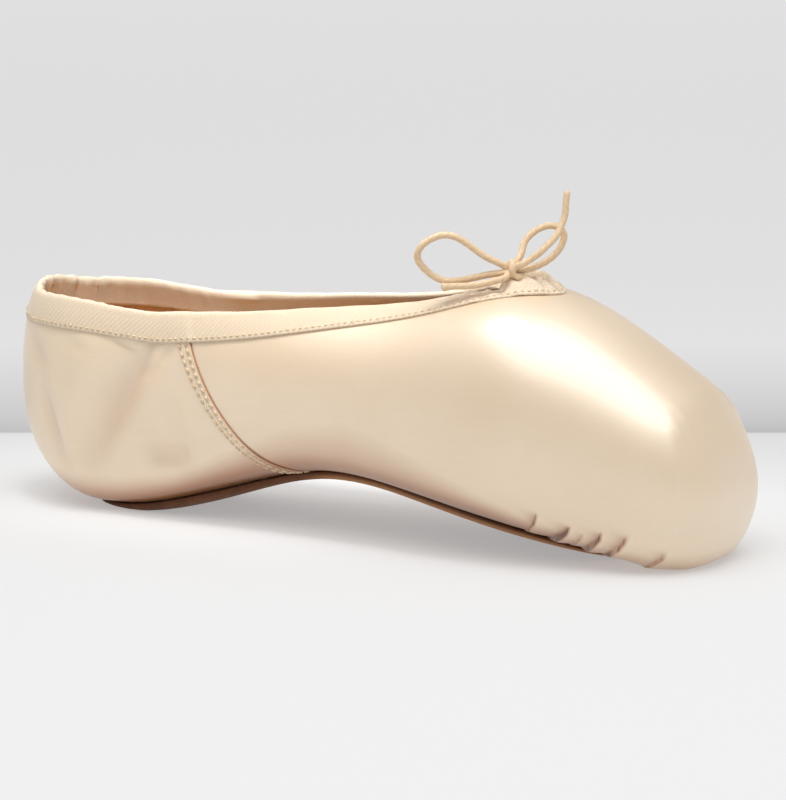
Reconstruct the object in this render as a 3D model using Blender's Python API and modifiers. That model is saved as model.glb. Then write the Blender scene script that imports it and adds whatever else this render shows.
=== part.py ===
"""A satin pointe shoe, standing empty on its heel and on the underside of its box.

Every piece is worked out in the shoe's own frame, in metres: x runs forward from the back of the heel,
y across the shoe, z up from the floor. The last is straight, so both sides are alike and the shoe serves
either foot. An empty carries that frame to the middle of the shoe's length.
"""

import math

import bmesh
import bpy
import numpy as np

MM = 0.001

# Driving sizes of the last, the form that the shoe is built on
SHOE_LENGTH = 232.0 * MM
BALL_WIDTH = 74.0 * MM
INSTEP_HEIGHT = 73.0 * MM
COLLAR_HEIGHT = 61.0 * MM
ARCH_RISE = 13.5 * MM
HEEL_PLAN_ROUND = 36.0 * MM
HEEL_UNDER_ROUND = 34.0 * MM
HEEL_TOP_ROUND = 20.0 * MM

# The platform at the toe: its blunt front, and how far it rounds off in plan, above and below
PLATFORM_WIDTH = 24.0 * MM
TOE_PLAN_ROUND = 22.0 * MM
TOE_TOP_ROUND = 16.0 * MM
TOE_TOP_DROP = 14.0 * MM
TOE_LOW_ROUND = 11.0 * MM
TOE_LOW_LIFT = 18.0 * MM
TOE_PLAN_SQUARE = 2.2

# Walls, leaves and clearances
FIT_GAP = 0.3 * MM
QUARTER_WALL = 1.3 * MM
BOX_WALL = 3.0 * MM
LAP_STEP = 0.6 * MM
LAP_FADE = 14.0 * MM
LAP_RISE = 6.0 * MM
OUTSOLE_THICKNESS = 2.3 * MM
OUTSOLE_FRONT_EDGE = 1.2 * MM
INSOLE_THICKNESS = 1.2 * MM
INSOLE_GAP = 0.6 * MM
BINDING_THICKNESS = 0.7 * MM
BINDING_GAP = 0.4 * MM
BINDING_OUTER_LEAF = 8.5 * MM
BINDING_INNER_LEAF = 7.0 * MM
CASING_RISE = 1.5 * MM
CASING_SHOULDER_SHARE = 0.75
CORD_DIAMETER = 2.0 * MM
KNOT_HEIGHT = 5.4 * MM
KNOT_WIDTH = 3.4 * MM

# Where the thicknesses change on the way forward, as shares of the length
SKIVE_START_SHARE = 0.70
SKIVE_END_SHARE = 0.87
BOX_START_SHARE = 0.76
BOX_END_SHARE = 0.86
PLATFORM_START_SHARE = 0.922

# The last, a row for each section from heel to toe. The place is a share of the length, half the width
# a share of the ball width, the underside's rise a share of the arch rise, crown and widest level
# shares of the instep height. The last two say how square the section is below and above.
SECTION_COLUMNS = ("along", "half_width", "rise", "crown", "widest", "low_square", "high_square")
SECTIONS = (
    (0.000, 0.350, 0.00, 1.03, 0.540, 3.4, 2.2),
    (0.100, 0.360, -0.10, 1.05, 0.520, 4.2, 2.2),
    (0.200, 0.366, -0.10, 1.06, 0.500, 4.2, 2.2),
    (0.300, 0.362, 0.28, 1.02, 0.490, 3.4, 2.2),
    (0.450, 0.388, 1.00, 0.95, 0.500, 2.9, 2.2),
    (0.600, 0.455, 0.78, 0.965, 0.450, 2.8, 2.3),
    (0.720, 0.500, 0.40, 1.02, 0.400, 2.9, 2.3),
    (0.840, 0.465, 0.06, 0.880, 0.340, 3.0, 2.3),
    (0.925, 0.415, -0.12, 0.71, 0.300, 3.0, 2.4),
    (0.965, 0.395, -0.15, 0.63, 0.295, 2.4, 2.4),
    (1.000, 0.380, -0.15, 0.555, 0.290, 2.0, 2.4),
)

# Where the upper's columns run, from the back of the heel round to the front of the toe: over the edge
# turned in under the foot, the feather edge, the side and the collar. The x are shares of the length, the y
# of half the ball width, the side's z of the instep height and the collar's z of the collar height.
COLUMN_COLUMNS = (
    "around", "spine_x", "sole_x", "sole_y", "feather_x", "feather_y",
    "side_x", "side_y", "side_z", "collar_x", "collar_y", "collar_z",
)
COLUMNS = (
    (0.00, 0.155, 0.165, 0.00, 0.056, 0.00, 0.000, 0.00, 0.575, 0.024, 0.00, 1.030),
    (0.08, 0.160, 0.178, 0.20, 0.082, 0.38, 0.030, 0.51, 0.575, 0.052, 0.41, 1.000),
    (0.17, 0.207, 0.235, 0.27, 0.216, 0.53, 0.181, 0.73, 0.550, 0.164, 0.58, 0.968),
    (0.35, 0.353, 0.460, 0.15, 0.445, 0.33, 0.350, 0.76, 0.440, 0.290, 0.55, 0.957),
    (0.47, 0.474, 0.545, 0.19, 0.535, 0.46, 0.490, 0.84, 0.490, 0.405, 0.46, 0.978),
    (0.62, 0.621, 0.655, 0.35, 0.664, 0.68, 0.647, 0.98, 0.440, 0.543, 0.36, 1.108),
    (0.77, 0.754, 0.770, 0.38, 0.815, 0.73, 0.810, 0.90, 0.390, 0.655, 0.26, 1.185),
    (0.89, 0.812, 0.825, 0.22, 0.922, 0.47, 0.953, 0.57, 0.300, 0.708, 0.15, 1.215),
    (1.00, 0.828, 0.840, 0.00, 0.978, 0.00, 1.000, 0.00, 0.280, 0.727, 0.00, 1.220),
)
SEAM_SHARE = 0.35
SEAM_STEP_SHARE = 0.0035

# The outsole's outline: the place as a share of the shoe's length, half the width of the ball width
OUTSOLE_OUTLINE = (
    (0.116, 0.000), (0.122, 0.090), (0.140, 0.160), (0.170, 0.210), (0.220, 0.232), (0.280, 0.222),
    (0.360, 0.180), (0.450, 0.160), (0.550, 0.190), (0.650, 0.255), (0.740, 0.290), (0.800, 0.275),
    (0.840, 0.205), (0.862, 0.125), (0.872, 0.000),
)

# The insole's outline, in the same shares
INSOLE_OUTLINE = (
    (0.058, 0.000), (0.066, 0.110), (0.095, 0.178), (0.150, 0.215), (0.250, 0.215), (0.350, 0.200),
    (0.450, 0.200), (0.550, 0.240), (0.650, 0.300), (0.740, 0.320), (0.810, 0.290), (0.870, 0.215),
    (0.905, 0.120), (0.918, 0.000),
)

# The drawstring's bow, each route in mm from the knot's middle, chosen along the cord as it lies
KNOT_PLACE = (-6.3 * MM, -6.0 * MM, 5.4 * MM)
CORD_ROUTES = {
    "bow_loop_rear": (
        (-1.9, -1.3, 1.2), (-5.5, -4.0, 3.4), (-10.5, -7.0, 7.5), (-16.0, -10.5, 10.0),
        (-19.0, -12.0, 9.0), (-21.5, -13.5, 7.0), (-23.0, -13.5, 3.5), (-21.5, -12.5, 0.5),
        (-19.0, -11.0, -2.0), (-16.0, -9.5, -3.3), (-13.0, -7.5, -3.3), (-9.0, -5.0, -2.5),
        (-5.0, -3.0, -1.5), (-2.2, -1.7, -1.1),
    ),
    "bow_loop_front": (
        (1.0, 2.0, 2.0), (1.5, 4.0, 4.2), (1.5, 6.0, 7.0), (3.0, 8.0, 9.5), (5.0, 10.0, 11.0),
        (7.0, 11.5, 11.5), (9.5, 12.0, 11.0), (11.0, 12.0, 9.5), (11.0, 11.0, 6.5),
        (9.5, 9.0, 3.5), (7.0, 6.0, 1.2), (4.5, 3.2, 0.0), (2.3, 1.6, -0.3),
    ),
    "drawstring_end_long": (
        (2.6, -0.6, 1.2), (5.0, 1.0, 2.6), (8.0, 2.5, 5.0), (9.5, 4.5, 7.0), (11.0, 7.0, 9.5),
        (11.5, 9.0, 12.0), (12.0, 10.5, 15.0), (12.0, 11.0, 18.0), (12.0, 12.0, 22.0),
    ),
    "drawstring_end_short": (
        (0.0, -2.8, -1.8), (-2.0, -4.8, -2.8), (-5.5, -7.0, -3.8), (-9.5, -9.0, -4.4),
        (-13.5, -10.2, -4.6), (-16.5, -11.5, -5.0),
    ),
    "drawstring_lead_near": ((2.1, -0.5, -1.9), (3.7, 1.0, -2.3), (5.1, 2.5, -2.9)),
    "drawstring_lead_far": ((0.0, 2.1, -2.0), (1.4, 4.2, -2.7), (2.8, 6.2, -3.9)),
}

# How finely the pieces are divided, and how closely points are found on the last
HEEL_COLUMNS = 14
VAMP_COLUMNS = 18
MARGIN_ROWS = 5
WALL_ROWS = 18
BINDING_READ_ROWS = 80
SOLE_STATIONS = 28
SOLE_ACROSS = 9
HALVINGS = 34
SLOPE_STEP = 0.2 * MM
COLLAR_SLOPE_STEP = 2.0 * MM
SAME_PLACE = 0.01 * MM


def natural_spline(knots, values, at):
    """Reads the natural cubic spline through the knots."""
    knots = np.asarray(knots, float)
    values = np.asarray(values, float)
    at = np.asarray(at, float)
    steps = np.diff(knots)
    slopes = np.diff(values) / steps
    count = len(knots)
    system = np.eye(count)
    bends = np.zeros(count)
    for i in range(1, count - 1):
        system[i, i - 1:i + 2] = steps[i - 1], 2 * (steps[i - 1] + steps[i]), steps[i]
        bends[i] = 6 * (slopes[i] - slopes[i - 1])
    bends = np.linalg.solve(system, bends)
    i = np.clip(np.searchsorted(knots, at) - 1, 0, count - 2)
    past = at - knots[i]
    straight = values[i] + past * (slopes[i] - steps[i] * (2 * bends[i] + bends[i + 1]) / 6)
    return straight + past**2 * bends[i] / 2 + past**3 * (bends[i + 1] - bends[i]) / (6 * steps[i])


def table_column(columns, rows, name):
    """One named column of a table."""
    return np.array([row[columns.index(name)] for row in rows])


def value_at_toe(name):
    """A section's value at the front of the toe."""
    return table_column(SECTION_COLUMNS, SECTIONS, name)[-1]


def smooth_step(share):
    """Goes smoothly from 0 to 1 as the share does."""
    share = np.clip(share, 0, 1)
    return share * share * (3 - 2 * share)


def opening_out(x, reach):
    """Grows from 0 at the back of the heel to 1, as a quarter of an ellipse that long."""
    left = np.clip(1 - x / reach, 0, 1)
    return np.sqrt(1 - left**2)


def rounding_off(x, reach, square=2.0):
    """Grows from 0 to 1 over the last stretch before the toe, as a rounded corner that long."""
    share = np.clip((x - SHOE_LENGTH + reach) / reach, 0, 1)
    return 1 - (1 - share**square) ** (1 / square)


def outsole_thickness(x):
    """The sole leather, skived thinner towards its front end."""
    past = x / SHOE_LENGTH - SKIVE_START_SHARE
    skived = smooth_step(past / (SKIVE_END_SHARE - SKIVE_START_SHARE))
    return OUTSOLE_THICKNESS + (OUTSOLE_FRONT_EDGE - OUTSOLE_THICKNESS) * skived


def sole_room(x):
    """How far the outsole lifts the last off the floor; it ends behind the platform."""
    outsole_end = OUTSOLE_OUTLINE[-1][0]
    ahead = smooth_step((x / SHOE_LENGTH - outsole_end) / (PLATFORM_START_SHARE - outsole_end))
    return (outsole_thickness(x) + FIT_GAP) * (1 - ahead)


def last_section(x):
    """Half the width, the depth below and height above the widest level, that level, how square it is."""
    x = np.clip(x, 0, SHOE_LENGTH)
    along = x / SHOE_LENGTH
    places = table_column(SECTION_COLUMNS, SECTIONS, "along")
    value = {
        name: natural_spline(places, table_column(SECTION_COLUMNS, SECTIONS, name), along)
        for name in SECTION_COLUMNS[1:]
    }
    underside = value["rise"] * ARCH_RISE + sole_room(x)
    widest = value["widest"] * INSTEP_HEIGHT
    toe_half = value_at_toe("half_width") * BALL_WIDTH
    half = value["half_width"] * BALL_WIDTH * opening_out(x, HEEL_PLAN_ROUND)
    half = half - (toe_half - PLATFORM_WIDTH / 2) * rounding_off(x, TOE_PLAN_ROUND, TOE_PLAN_SQUARE)
    low = (widest - underside) * opening_out(x, HEEL_UNDER_ROUND)
    low = low - TOE_LOW_LIFT * rounding_off(x, TOE_LOW_ROUND)
    high = (value["crown"] * INSTEP_HEIGHT - widest) * opening_out(x, HEEL_TOP_ROUND)
    high = high - TOE_TOP_DROP * rounding_off(x, TOE_TOP_ROUND)
    return half, low, high, widest, value["low_square"], value["high_square"]


def inside_last(points):
    """Whether each point is inside the last and above the floor."""
    x, y, z = points[..., 0], points[..., 1], points[..., 2]
    half, low, high, widest, low_square, high_square = last_section(x)
    above = z >= widest
    tall = np.where(above, high, low)
    square = np.where(above, high_square, low_square)
    tiny = np.finfo(float).eps
    across = np.abs(y) / np.maximum(half, tiny)
    away = np.abs(z - widest) / np.maximum(tall, tiny)
    return (x >= 0) & (x <= SHOE_LENGTH) & (z >= 0) & (across**square + away**square <= 1)


def cast_to_last(starts, directions):
    """Where the rays from inside leave the last, found by halving."""
    near = np.zeros(starts.shape[:-1])
    far = np.full(starts.shape[:-1], SHOE_LENGTH)
    for _ in range(HALVINGS):
        middle = (near + far) / 2
        held = inside_last(starts + directions * middle[..., None])
        near = np.where(held, middle, near)
        far = np.where(held, far, middle)
    return starts + directions * near[..., None]


def underside_height(x, y):
    """The height of the last's underside, as far out as it reaches."""
    half, low, _, widest, low_square, _ = last_section(x)
    share = np.clip(np.abs(y) / half, 0, 1) ** low_square
    return np.maximum(widest - low * (1 - share) ** (1 / low_square), 0)


def underside_point(x, y, outward):
    """A point off the last's underside, along its normal; a distance below 0 goes into the shoe."""
    ahead, behind = underside_height(x + SLOPE_STEP, y), underside_height(x - SLOPE_STEP, y)
    left, right = underside_height(x, y + SLOPE_STEP), underside_height(x, y - SLOPE_STEP)
    slope_x = (ahead - behind) / (2 * SLOPE_STEP)
    slope_y = (left - right) / (2 * SLOPE_STEP)
    normal = np.stack([slope_x, slope_y, -np.ones_like(slope_x)], -1)
    normal /= np.linalg.norm(normal, axis=-1, keepdims=True)
    return np.stack([x, y, underside_height(x, y)], -1) + normal * np.asarray(outward)[..., None]


def column_values(around):
    """The rows of the column table read at places round the shoe; below 0 is the other side."""
    rows = np.array(COLUMNS)
    mirrored = np.array([-1.0 if name.endswith("_y") else 1.0 for name in COLUMN_COLUMNS])
    behind = rows[:0:-1] * mirrored
    behind[:, 0] = -behind[:, 0]
    ahead = rows[-2::-1] * mirrored
    ahead[:, 0] = 2 - ahead[:, 0]
    table = np.concatenate([behind, rows, ahead])
    value = {}
    for k, name in enumerate(COLUMN_COLUMNS[1:], start=1):
        side = np.where(around < 0, mirrored[k], 1.0)
        value[name] = natural_spline(table[:, 0], table[:, k], np.abs(around)) * side
    return value


def last_columns(around, margin_rows, wall_rows):
    """A grid of points on the last: a column for each place round it, a row for each step up it."""
    value = column_values(around)
    half_width = BALL_WIDTH / 2

    def guide(name, height):
        across = value[name + "_y"] * half_width
        return np.stack([value[name + "_x"] * SHOE_LENGTH, across, height], -1)

    sole_z = underside_height(value["sole_x"] * SHOE_LENGTH, value["sole_y"] * half_width)
    feather_z = underside_height(value["feather_x"] * SHOE_LENGTH, value["feather_y"] * half_width)
    sole = guide("sole", sole_z)
    feather = guide("feather", feather_z)
    side = guide("side", value["side_z"] * INSTEP_HEIGHT)
    collar = guide("collar", value["collar_z"] * COLLAR_HEIGHT)
    spine_x = value["spine_x"] * SHOE_LENGTH
    spine = np.stack([spine_x, np.zeros_like(spine_x), last_section(spine_x)[3]], -1)
    bend = 2 * side - (feather + collar) / 2
    margin = np.linspace(0, 1, margin_rows + 1)[:-1, None]
    up = np.linspace(0, 1, wall_rows + 1)[:, None]
    under_foot = sole[:, None] * (1 - margin) + feather[:, None] * margin
    lower, middle, upper = (1 - up) ** 2, 2 * up * (1 - up), up**2
    up_side = feather[:, None] * lower + bend[:, None] * middle + collar[:, None] * upper
    aims = np.concatenate([under_foot, up_side], axis=1)
    starts = np.repeat(spine[:, None], aims.shape[1], axis=1)
    directions = aims - starts
    directions /= np.linalg.norm(directions, axis=-1, keepdims=True)
    return cast_to_last(starts, directions)


def grid_normals(grid):
    """Outward normals of a grid whose columns run round the shoe and whose rows run up it."""
    round_shoe = np.roll(grid, -1, axis=0) - np.roll(grid, 1, axis=0)
    up = np.gradient(grid, axis=1)
    normals = np.cross(up, round_shoe)
    return normals / np.linalg.norm(normals, axis=-1, keepdims=True)


def places_round():
    """Places round the shoe, with two close ones at each side seam, from the toe round and back."""
    heel = np.linspace(0, SEAM_SHARE, HEEL_COLUMNS + 1)
    vamp = np.linspace(SEAM_SHARE + SEAM_STEP_SHARE, 1, VAMP_COLUMNS + 1)
    half = np.concatenate([heel, vamp])
    return np.concatenate([-half[:0:-1], half[:-1]])


def lap_height(around, grid, margin_rows):
    """How far the heel panel stands proud where it laps over the vamp, above the feather edge."""
    seam = grid[np.argmin(np.abs(around - SEAM_SHARE))]
    distance = np.linalg.norm(grid * (1, 0, 1) - seam * (1, 0, 1), axis=-1)
    height = np.linalg.norm(grid - grid[:, margin_rows:margin_rows + 1], axis=-1)
    behind = (np.abs(around) < SEAM_SHARE + SEAM_STEP_SHARE / 2)[:, None]
    above = np.arange(grid.shape[1]) >= margin_rows
    share = (1 - smooth_step(distance / LAP_FADE)) * smooth_step(height / LAP_RISE)
    return LAP_STEP * share * behind * above


def material(name, colour, roughness, sheen=0.0):
    """A plain finish in linear colour."""
    made = bpy.data.materials.new(name)
    made.use_nodes = True
    shader = made.node_tree.nodes["Principled BSDF"]
    shader.inputs["Base Color"].default_value = (*colour, 1.0)
    shader.inputs["Roughness"].default_value = roughness
    shader.inputs["Metallic"].default_value = 0.0
    shader.inputs["Sheen Weight"].default_value = sheen
    return made


def add_object(name, data, finish, parent, collection):
    """Links an object into the shoe."""
    data.materials.append(finish)
    made = bpy.data.objects.new(name, data)
    made.parent = parent
    collection.objects.link(made)
    return made


def mesh_from_grid(name, grid):
    """A sheet of quads over a grid that closes on itself from column to column."""
    columns, rows = grid.shape[:2]
    faces = []
    for i in range(columns):
        ahead = (i + 1) % columns
        for j in range(rows - 1):
            faces.append((i * rows + j, i * rows + j + 1, ahead * rows + j + 1, ahead * rows + j))
    mesh = bpy.data.meshes.new(name)
    mesh.from_pydata(grid.reshape(-1, 3).tolist(), [], faces)
    return mesh


def wall_thickness(x):
    """The upper's wall: satin and lining in the quarters, layers of paste and cloth in the box."""
    past = x / SHOE_LENGTH - BOX_START_SHARE
    in_box = smooth_step(past / (BOX_END_SHARE - BOX_START_SHARE))
    return QUARTER_WALL + (BOX_WALL - QUARTER_WALL) * in_box


def add_upper(finish, parent, collection):
    """The satin upper: a hollow shell, open at the collar and under the foot, stepped at the seams."""
    around = places_round()
    grid = last_columns(around, MARGIN_ROWS, WALL_ROWS)
    lap = lap_height(around, grid, MARGIN_ROWS)
    wall = wall_thickness(grid[..., 0]) + lap
    grid = grid + grid_normals(grid) * lap[..., None]
    mesh = mesh_from_grid("upper", grid)
    upper = add_object("upper", mesh, finish, parent, collection)
    group = upper.vertex_groups.new(name="wall")
    thickest = float(wall.max())
    for i, thickness in enumerate(wall.ravel()):
        group.add([i], float(thickness) / thickest, "REPLACE")
    shell = upper.modifiers.new("Wall", "SOLIDIFY")
    shell.thickness = thickest
    shell.offset = -1.0
    shell.vertex_group = group.name
    shell.use_quality_normals = True
    return upper


def add_collar_binding(finish, parent, collection):
    """The tape folded over the collar's edge, with room at its fold for the drawstring."""
    around = places_round()
    dense = last_columns(around, 0, BINDING_READ_ROWS)
    normals = grid_normals(dense)
    lap = lap_height(around, dense, 0)
    run = np.linalg.norm(np.diff(dense[:, ::-1], axis=1), axis=-1)
    depths = np.concatenate([np.zeros((len(dense), 1)), np.cumsum(run, axis=1)], axis=1)

    def at_depth(depth, values):
        flat = values.reshape(*values.shape[:2], -1)[:, ::-1]
        read = [
            [np.interp(depth, depths[i], flat[i, :, k]) for k in range(flat.shape[2])]
            for i in range(len(flat))
        ]
        return np.array(read)

    def off_last(depth, outward):
        return at_depth(depth, dense) + at_depth(depth, normals) * outward

    over = dense[:, -1] - at_depth(COLLAR_SLOPE_STEP, dense)
    over /= np.linalg.norm(over, axis=-1, keepdims=True)
    outside = BINDING_GAP + at_depth(0, lap)
    inside = -(QUARTER_WALL + BINDING_GAP)
    rows = [
        off_last(BINDING_OUTER_LEAF, BINDING_GAP + at_depth(BINDING_OUTER_LEAF, lap)),
        off_last(BINDING_OUTER_LEAF / 2, BINDING_GAP + at_depth(BINDING_OUTER_LEAF / 2, lap)),
        off_last(0, outside),
        off_last(0, outside) + over * CASING_RISE * CASING_SHOULDER_SHARE,
        off_last(0, -QUARTER_WALL / 2) + over * CASING_RISE,
        off_last(0, inside) + over * CASING_RISE * CASING_SHOULDER_SHARE,
        off_last(0, inside),
        off_last(BINDING_INNER_LEAF, inside),
    ]
    mesh = mesh_from_grid("collar_binding", np.stack(rows, axis=1))
    binding = add_object("collar_binding", mesh, finish, parent, collection)
    tape = binding.modifiers.new("Tape", "SOLIDIFY")
    tape.thickness = BINDING_THICKNESS
    tape.offset = 1.0
    tape.use_quality_normals = True
    return binding


def outline_stations(outline, count):
    """Places along a sheet and half its width there, evenly spaced along its own outline."""
    x = np.array([row[0] for row in outline]) * SHOE_LENGTH
    half = np.array([row[1] for row in outline]) * BALL_WIDTH
    run = np.concatenate([[0], np.cumsum(np.hypot(np.diff(x), np.diff(half)))])
    at = np.linspace(0, run[-1], count)
    return natural_spline(run, x, at), np.maximum(natural_spline(run, half, at), 0)


def sheet_mesh(name, outline, near, far):
    """A sheet that follows the last's underside between two distances from it, lofted end to end."""
    x, half = outline_stations(outline, SOLE_STATIONS)
    across = np.sin(np.linspace(-1, 1, SOLE_ACROSS) * math.pi / 2)
    x = np.repeat(x[:, None], SOLE_ACROSS, axis=1)
    y = half[:, None] * across
    upper_side = underside_point(x, y, near(x))
    lower_side = underside_point(x, y, far(x))
    loops = np.concatenate([lower_side, upper_side[:, ::-1]], axis=1)
    loops[..., 2] = np.maximum(loops[..., 2], 0)
    count = loops.shape[1]
    faces = []
    for i in range(len(loops) - 1):
        for j in range(count):
            beside = (j + 1) % count
            corners = (i * count + j, i * count + beside, (i + 1) * count + beside, (i + 1) * count + j)
            faces.append(corners)
    mesh = bpy.data.meshes.new(name)
    mesh.from_pydata(loops.reshape(-1, 3).tolist(), [], faces)
    working = bmesh.new()
    working.from_mesh(mesh)
    bmesh.ops.remove_doubles(working, verts=working.verts, dist=SAME_PLACE)
    bmesh.ops.recalc_face_normals(working, faces=working.faces)
    working.to_mesh(mesh)
    working.free()
    return mesh


def add_outsole(finish, parent, collection):
    """The leather outsole, under the turned-in edge of the upper."""
    mesh = sheet_mesh(
        "outsole",
        OUTSOLE_OUTLINE,
        lambda x: np.full_like(x, FIT_GAP),
        lambda x: FIT_GAP + outsole_thickness(x),
    )
    return add_object("outsole", mesh, finish, parent, collection)


def add_insole(finish, parent, collection):
    """The insole board, on the turned-in edge of the upper."""
    mesh = sheet_mesh(
        "insole",
        INSOLE_OUTLINE,
        lambda x: -(wall_thickness(x) + INSOLE_GAP + INSOLE_THICKNESS),
        lambda x: -(wall_thickness(x) + INSOLE_GAP),
    )
    return add_object("insole", mesh, finish, parent, collection)


def knot_centre():
    """The knot's middle, over the front of the collar and a little to one side."""
    front = last_columns(np.array([1.0]), 0, 2)[0, -1]
    return front + np.array(KNOT_PLACE)


def add_cord(name, route, finish, parent, collection):
    """One stretch of the drawstring, along a smooth curve through its chosen places."""
    places = np.array(route) * MM
    run = np.concatenate([[0], np.cumsum(np.linalg.norm(np.diff(places, axis=0), axis=1))])
    count = max(3, math.ceil(run[-1] / (2 * CORD_DIAMETER)) + 1)
    at = np.linspace(0, run[-1], count)
    smooth = np.stack([natural_spline(run, places[:, k], at) for k in range(3)], axis=-1)
    curve = bpy.data.curves.new(name, "CURVE")
    curve.dimensions = "3D"
    curve.bevel_depth = CORD_DIAMETER / 2
    curve.bevel_resolution = 2
    curve.use_fill_caps = True
    spline = curve.splines.new("POLY")
    spline.points.add(count - 1)
    for point, place in zip(spline.points, smooth):
        point.co = (*place, 1.0)
    cord = add_object(name, curve, finish, parent, collection)
    cord.location = knot_centre()
    return cord


def add_knot(finish, parent, collection):
    """The bow's knot, taller than wide."""
    bpy.ops.mesh.primitive_uv_sphere_add(segments=12, ring_count=8, radius=0.5)
    knot = bpy.context.object
    knot.name = "drawstring_knot"
    knot.data.name = "drawstring_knot"
    knot.scale = (KNOT_WIDTH, KNOT_WIDTH, KNOT_HEIGHT)
    bpy.ops.object.transform_apply(location=False, rotation=False, scale=True)
    knot.data.materials.append(finish)
    for held in list(knot.users_collection):
        held.objects.unlink(knot)
    collection.objects.link(knot)
    knot.parent = parent
    knot.location = knot_centre()
    return knot


def main():
    for obj in list(bpy.data.objects):
        bpy.data.objects.remove(obj, do_unlink=True)
    shoe = bpy.data.collections.new("pointe_shoe")
    bpy.context.scene.collection.children.link(shoe)
    middle = bpy.data.objects.new("shoe_frame", None)
    middle.location = (-SHOE_LENGTH / 2, 0, 0)
    shoe.objects.link(middle)
    satin = material("peach satin", (0.72, 0.58, 0.43), 0.38, 0.2)
    tape = material("twill tape", (0.74, 0.62, 0.47), 0.85)
    sole_leather = material("sole leather", (0.17, 0.075, 0.032), 0.6)
    board = material("insole board", (0.55, 0.36, 0.20), 0.8)
    add_upper(satin, middle, shoe)
    add_collar_binding(tape, middle, shoe)
    add_outsole(sole_leather, middle, shoe)
    add_insole(board, middle, shoe)
    cotton = material("cotton cord", (0.70, 0.57, 0.42), 0.9)
    add_knot(cotton, middle, shoe)
    for name, route in CORD_ROUTES.items():
        add_cord(name, route, cotton, middle, shoe)


main()
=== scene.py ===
"""A satin pointe shoe on a pale floor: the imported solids, dressed in satin, tape, leather and cord.

The shoe's own frame is the one that its maker works in: x runs forward from the back of the heel, y across
the shoe and z up from the floor. Every method works in that frame, in metres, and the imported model's frame
lies half the shoe's length further forward.
"""
import logging
import math
from dataclasses import dataclass, field
from enum import Enum

import bpy
import numpy as np
from mathutils import Matrix, Vector
from numpy.typing import NDArray


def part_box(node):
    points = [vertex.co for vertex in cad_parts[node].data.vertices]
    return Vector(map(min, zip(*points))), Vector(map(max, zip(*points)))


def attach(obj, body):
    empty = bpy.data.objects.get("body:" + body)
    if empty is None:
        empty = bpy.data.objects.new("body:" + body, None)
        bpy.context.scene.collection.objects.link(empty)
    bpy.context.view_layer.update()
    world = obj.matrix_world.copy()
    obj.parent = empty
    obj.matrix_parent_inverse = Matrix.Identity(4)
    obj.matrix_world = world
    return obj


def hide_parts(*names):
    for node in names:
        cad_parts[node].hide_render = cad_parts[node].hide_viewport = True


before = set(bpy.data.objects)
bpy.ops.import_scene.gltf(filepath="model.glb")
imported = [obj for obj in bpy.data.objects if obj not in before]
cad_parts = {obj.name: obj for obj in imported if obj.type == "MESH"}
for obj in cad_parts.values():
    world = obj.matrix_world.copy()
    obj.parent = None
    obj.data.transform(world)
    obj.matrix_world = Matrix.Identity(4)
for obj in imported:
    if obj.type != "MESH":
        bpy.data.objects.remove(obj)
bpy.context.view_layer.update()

log = logging.getLogger("pointe_shoe")

MM = 0.001
MIRROR = np.array([1, -1, 1])
Array = NDArray[np.float64]
Socket = bpy.types.NodeSocket
Route = tuple[tuple[float, float, float], ...]


class Side(Enum):
    """Which side of the shoe a fold lies on: the near one has y below 0."""

    NEAR = -1
    FAR = 1
    BOTH = 0


class Coordinates(Enum):
    """What a pattern follows: the piece's place, or the map laid along its cloth."""

    OBJECT = "Object"
    UV = "UV"


# The last, the form that the shoe is built on


def natural_spline(knots: Array, values: Array, at: Array) -> Array:
    """Reads the natural cubic spline through the knots.

    Args:
        knots: The places of the knots, rising.
        values: The value at each knot.
        at: The places to read.

    Returns:
        The spline's value at each place.
    """
    knots = np.asarray(knots, float)
    values = np.asarray(values, float)
    at = np.asarray(at, float)
    steps = np.diff(knots)
    slopes = np.diff(values) / steps
    count = len(knots)
    system = np.eye(count)
    bends = np.zeros(count)
    for i in range(1, count - 1):
        system[i, i - 1:i + 2] = steps[i - 1], 2 * (steps[i - 1] + steps[i]), steps[i]
        bends[i] = 6 * (slopes[i] - slopes[i - 1])
    bends = np.linalg.solve(system, bends)
    i = np.clip(np.searchsorted(knots, at) - 1, 0, count - 2)
    past = at - knots[i]
    straight = values[i] + past * (slopes[i] - steps[i] * (2 * bends[i] + bends[i + 1]) / 6)
    return straight + past**2 * bends[i] / 2 + past**3 * (bends[i + 1] - bends[i]) / (6 * steps[i])


def smooth_step(share: Array) -> Array:
    """Goes smoothly from 0 to 1 as the share does."""
    share = np.clip(share, 0, 1)
    return share * share * (3 - 2 * share)


def bell(distance: Array, width: float) -> Array:
    """Falls smoothly from 1 on a line to almost 0 two widths away from it."""
    return np.exp(-((distance / width) ** 2))


def unit(vectors: Array) -> Array:
    """The vectors with length 1."""
    return vectors / np.maximum(np.linalg.norm(vectors, axis=-1, keepdims=True), 1e-12)


@dataclass(frozen=True)
class Table:
    """A table with a name for each column."""

    columns: tuple[str, ...]
    rows: tuple[tuple[float, ...], ...]

    def column(self, name: str) -> Array:
        """The values of the column with that name."""
        return np.array([row[self.columns.index(name)] for row in self.rows])


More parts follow.
